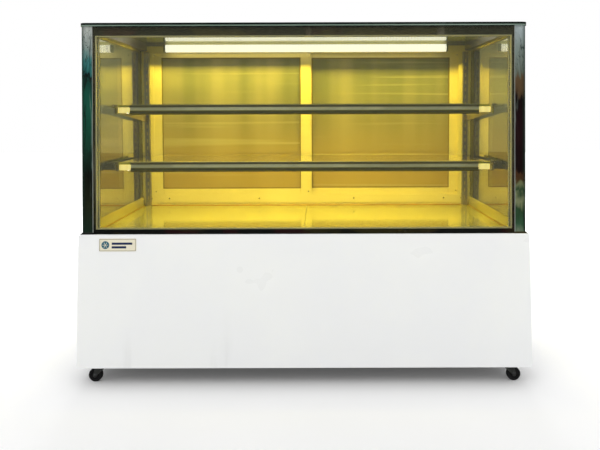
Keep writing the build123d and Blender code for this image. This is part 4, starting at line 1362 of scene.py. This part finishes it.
# ---------------------------------------------------------------- back of the base
@dataclass
class Rear(SubAssembly):
    """Louvre lips, control display and bezel at the back.

    Attributes:
        digit: height of a digit on the display.
        display_x: distance of the display from the middle.
    """

    digit: float = 0.020
    display_x: float = 0.565

    # Lowest X and Z, then highest, of each stroke of a digit, in halves of the digit's width and height.
    STROKES = {
        "top": (-1, 1, 1, 1), "middle": (-1, 0, 1, 0), "bottom": (-1, -1, 1, -1),
        "upper_left": (-1, 0, -1, 1), "upper_right": (1, 0, 1, 1),
        "lower_left": (-1, -1, -1, 0), "lower_right": (1, -1, 1, 0),
    }
    ZERO = ("top", "bottom", "upper_left", "upper_right", "lower_left", "lower_right")
    FIVE = ("top", "middle", "bottom", "upper_left", "lower_right")

    def louvre_lips(self) -> None:
        """Adds the pressed lip above each air slot."""
        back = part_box("rear_grille_panel")[1].y
        rows, pitch, middle_z, half = 11, 0.020, 0.230, 0.070
        bm = bmesh.new()
        for x in (-0.480, -0.300, 0.300):
            for row in range(rows):
                z = middle_z + (row - rows // 2) * pitch
                made = add_box(bm, (x - half, back - FILM, z + 0.0040), (x + half, back + 0.0013, z + 0.0065))
                outer = [vertex for vertex in made if vertex.co.y > back]
                bmesh.ops.translate(bm, verts=outer, vec=(0.0, 0.0, -0.002))
        self.add(bm, "rear_louvre_lips", "white_paint")

    def display(self) -> None:
        """Adds the display window and its lit number of two digits."""
        low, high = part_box("control_panel")
        centre = Vector((self.display_x, high.y - 0.0010, (low.z + high.z) / 2))
        half = Vector((0.041, FILM, 0.020))
        bm = bmesh.new()
        add_box(bm, centre - half, centre + half)
        soften(bm, 0.0003, 1)
        self.add(bm, "control_window", "black_plastic", material=BlackMirror(
            "control_window", (0.006, 0.004, 0.004), (0.02, 0.008, 0.006), (0.01, 0.004, 0.004),
            (0.02, 0.02, 0.02),
        ).material())
        lit = Lamp("display_digit", (0.9, 0.2, 0.1), (1.0, 0.10, 0.04), 4.0, 0.02).material()
        bm = bmesh.new()
        half_width, half_height, stroke = self.digit * 0.25, self.digit * 0.5, self.digit * 0.06
        y = high.y - 0.0006
        for offset, names in ((0.009, self.ZERO), (-0.009, self.FIVE)):
            x = centre.x + offset
            for name in names:
                left, foot, right, head = self.STROKES[name]
                add_box(
                    bm, (x - right * half_width - stroke, y, centre.z + foot * half_height - stroke),
                    (x - left * half_width + stroke, y + 0.0003, centre.z + head * half_height + stroke),
                )
        self.add(bm, "display_digits", "lamp_cover", material=lit)

    def bezel(self) -> None:
        """Adds the slim bezel round the control opening."""
        low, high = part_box("control_panel")
        rim_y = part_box("rear_grille_panel")[1].y
        lap, band = 0.003, 0.0045
        bm = bmesh.new()
        add_window(bm, (low.x - lap, rim_y, low.z - lap), (high.x + lap, rim_y + 0.0012, high.z + lap), band)
        soften(bm, 0.0004)
        self.add(bm, "control_bezel", "black_plastic")

    def build(self) -> None:
        """Builds the group."""
        self.louvre_lips()
        self.display()
        self.bezel()


# ---------------------------------------------------------------- casters
@dataclass
class Casters(SubAssembly):
    """Axle nuts of the four casters.

    Attributes:
        nut: radius of an axle nut.
        thick: thickness of an axle nut.
    """

    nut: float = 0.0062
    thick: float = 0.0018

    def build(self) -> None:
        """Builds the pieces of each caster."""
        for row in ("front", "rear"):
            for side in Side:
                self.caster(f"{row}_{side.name.lower()}")

    def caster(self, name: str) -> None:
        """Adds one caster's nuts.

        Args:
            name: the corner, such as front_left.
        """
        wheel_low, wheel_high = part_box(f"{name}_caster_wheel")
        fork_low, fork_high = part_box(f"{name}_caster_fork")
        centre = (wheel_low + wheel_high) / 2
        bm = bmesh.new()
        for y in (fork_low.y + self.thick / 2, fork_high.y - self.thick / 2):
            add_round(bm, (centre.x, y, centre.z), Axis.Y, self.nut, self.thick, sides=6)
        soften(bm, 0.0004)
        self.add(bm, f"{name}_axle_nuts", "zinc_caster", f"{name}_swivel")


# ---------------------------------------------------------------- studio
@dataclass
class Studio:
    """Floor, soft light and camera.

    Attributes:
        eye: the camera's place.
        pitch: how far it looks down, in degrees.
        roll: its turn about its own view line, in degrees.
        focal: focal length in millimetres.
        shift: sideways and upward shift of the picture.
    """

    eye: Point = (0.0408, -2.4215, 0.9012)
    pitch: float = 2.90
    roll: float = -0.173
    focal: float = 38.49
    shift: tuple[float, float] = (-0.0267, -0.1333)

    def camera(self) -> None:
        """Places the camera."""
        data = bpy.data.cameras.new("camera")
        data.lens = self.focal
        data.sensor_width = 36.0
        data.shift_x, data.shift_y = self.shift
        data.clip_end = 100.0
        camera = bpy.data.objects.new("camera", data)
        turn = Matrix.Rotation(radians(90 - self.pitch), 4, "X") @ Matrix.Rotation(radians(self.roll), 4, "Z")
        camera.matrix_world = Matrix.Translation(self.eye) @ turn
        bpy.context.scene.collection.objects.link(camera)
        bpy.context.scene.camera = camera

    def floor(self) -> None:
        """Adds the pale floor."""
        bm = bmesh.new()
        bmesh.ops.create_grid(bm, x_segments=1, y_segments=1, size=12.0)
        mesh = bpy.data.meshes.new("floor")
        bm.to_mesh(mesh)
        bm.free()
        mesh.materials.append(FloorFinish("floor").material())
        floor = bpy.data.objects.new("floor", mesh)
        bpy.context.scene.collection.objects.link(floor)

    def world(self) -> None:
        """Sets the soft surroundings: white behind, dimmer where glass and metal mirror them."""
        graph = Graph("studio", world=True)
        greys = ((0.0, 0.03), (0.12, 0.05), (0.45, 0.55), (1.0, 0.9))
        rise = graph.ramp(graph.axis("Z"), [(place, dimmed(WHITE, grey)) for place, grey in greys])
        room = graph.shader("Background", Color=(0.34, 0.33, 0.19), Strength=1.0)
        mirror = graph.shader("Background", Color=rise)
        soft = graph.shader("Background", Color=WHITE, Strength=0.80)
        bare = graph.shader("Background", Color=WHITE, Strength=1.0)
        seen = graph.blend(graph.ray("Camera"), soft, bare)
        mirrored = graph.blend(graph.ray("Glossy"), seen, mirror)
        bpy.context.scene.world = graph.done(graph.blend(graph.ray("Transmission"), mirrored, room))

    @staticmethod
    def area(name: str, place: Point, aim: Point, size: tuple[float, float], watts: float, colour: Colour,
             seen: bool = False) -> None:
        """Adds a rectangular lamp.

        Args:
            name: its name.
            place: its middle.
            aim: the point it faces.
            size: its width and height.
            watts: its power.
            colour: its colour.
            seen: whether mirrors show it.
        """
        data = bpy.data.lights.new(name, "AREA")
        data.shape = "RECTANGLE"
        data.size, data.size_y = size
        data.energy = watts
        data.color = colour
        lamp = bpy.data.objects.new(name, data)
        lamp.location = place
        lamp.rotation_euler = (Vector(aim) - Vector(place)).to_track_quat("-Z", "Y").to_euler()
        lamp.visible_camera = False
        lamp.visible_transmission = False
        lamp.visible_glossy = seen
        bpy.context.scene.collection.objects.link(lamp)

    def lamps(self) -> None:
        """Adds the studio's soft boxes and the warm light of the case's own lamps."""
        warm = (1.0, 0.76, 0.07)
        self.area("key", (-1.6, -3.0, 3.4), (0.0, 0.0, 0.5), (3.0, 2.0), 30.0, WHITE, True)
        self.area("fill", (2.4, -2.4, 2.6), (0.0, 0.0, 0.4), (2.5, 2.0), 16.0, WHITE)
        self.area("back", (0.0, 3.8, 2.3), (0.0, 0.0, 0.2), (3.5, 1.6), 95.0, WHITE)
        low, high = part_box("light_tube")
        under, behind = (0.0, low.y - 0.012, low.z - 0.006), (0.0, high.y + 0.02, low.z - 0.004)
        self.area("ceiling_lamp", under, (0.0, -0.10, 0.62), (1.30, 0.03), 13.0, warm)
        self.area("ceiling_back", behind, (0.0, 0.284, 0.85), (1.12, 0.008), 0.06, warm)
        low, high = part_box("shelf_light_bars")
        for number, z in enumerate((low.z, high.z - LIGHT_BAR)):
            place, aim = (0.0, high.y + 0.004, z - 0.002), (0.0, 0.05, z - 0.2)
            self.area(f"shelf_lamp_{number}", place, aim, (1.30, 0.01), 3.2, warm)

    def build(self) -> None:
        """Builds the studio."""
        self.floor()
        self.world()
        self.lamps()
        bpy.context.scene.view_settings.view_transform = "Standard"


def main() -> None:
    """Builds the whole picture in order."""
    logging.basicConfig(level=logging.INFO, format="%(message)s")
    studio = Studio()
    studio.camera()
    finishes = build_finishes()
    dress_frame(finishes)
    groups = (
        Base(finishes), Glazing(finishes), Interior(finishes), Shelves(finishes), Door(finishes, Side.LEFT),
        Door(finishes, Side.RIGHT), Rear(finishes), Casters(finishes),
    )
    for group in groups:
        group.build()
        LOG.info("built %s", type(group).__name__)
    studio.build()


if __name__ == "__main__":
    main()
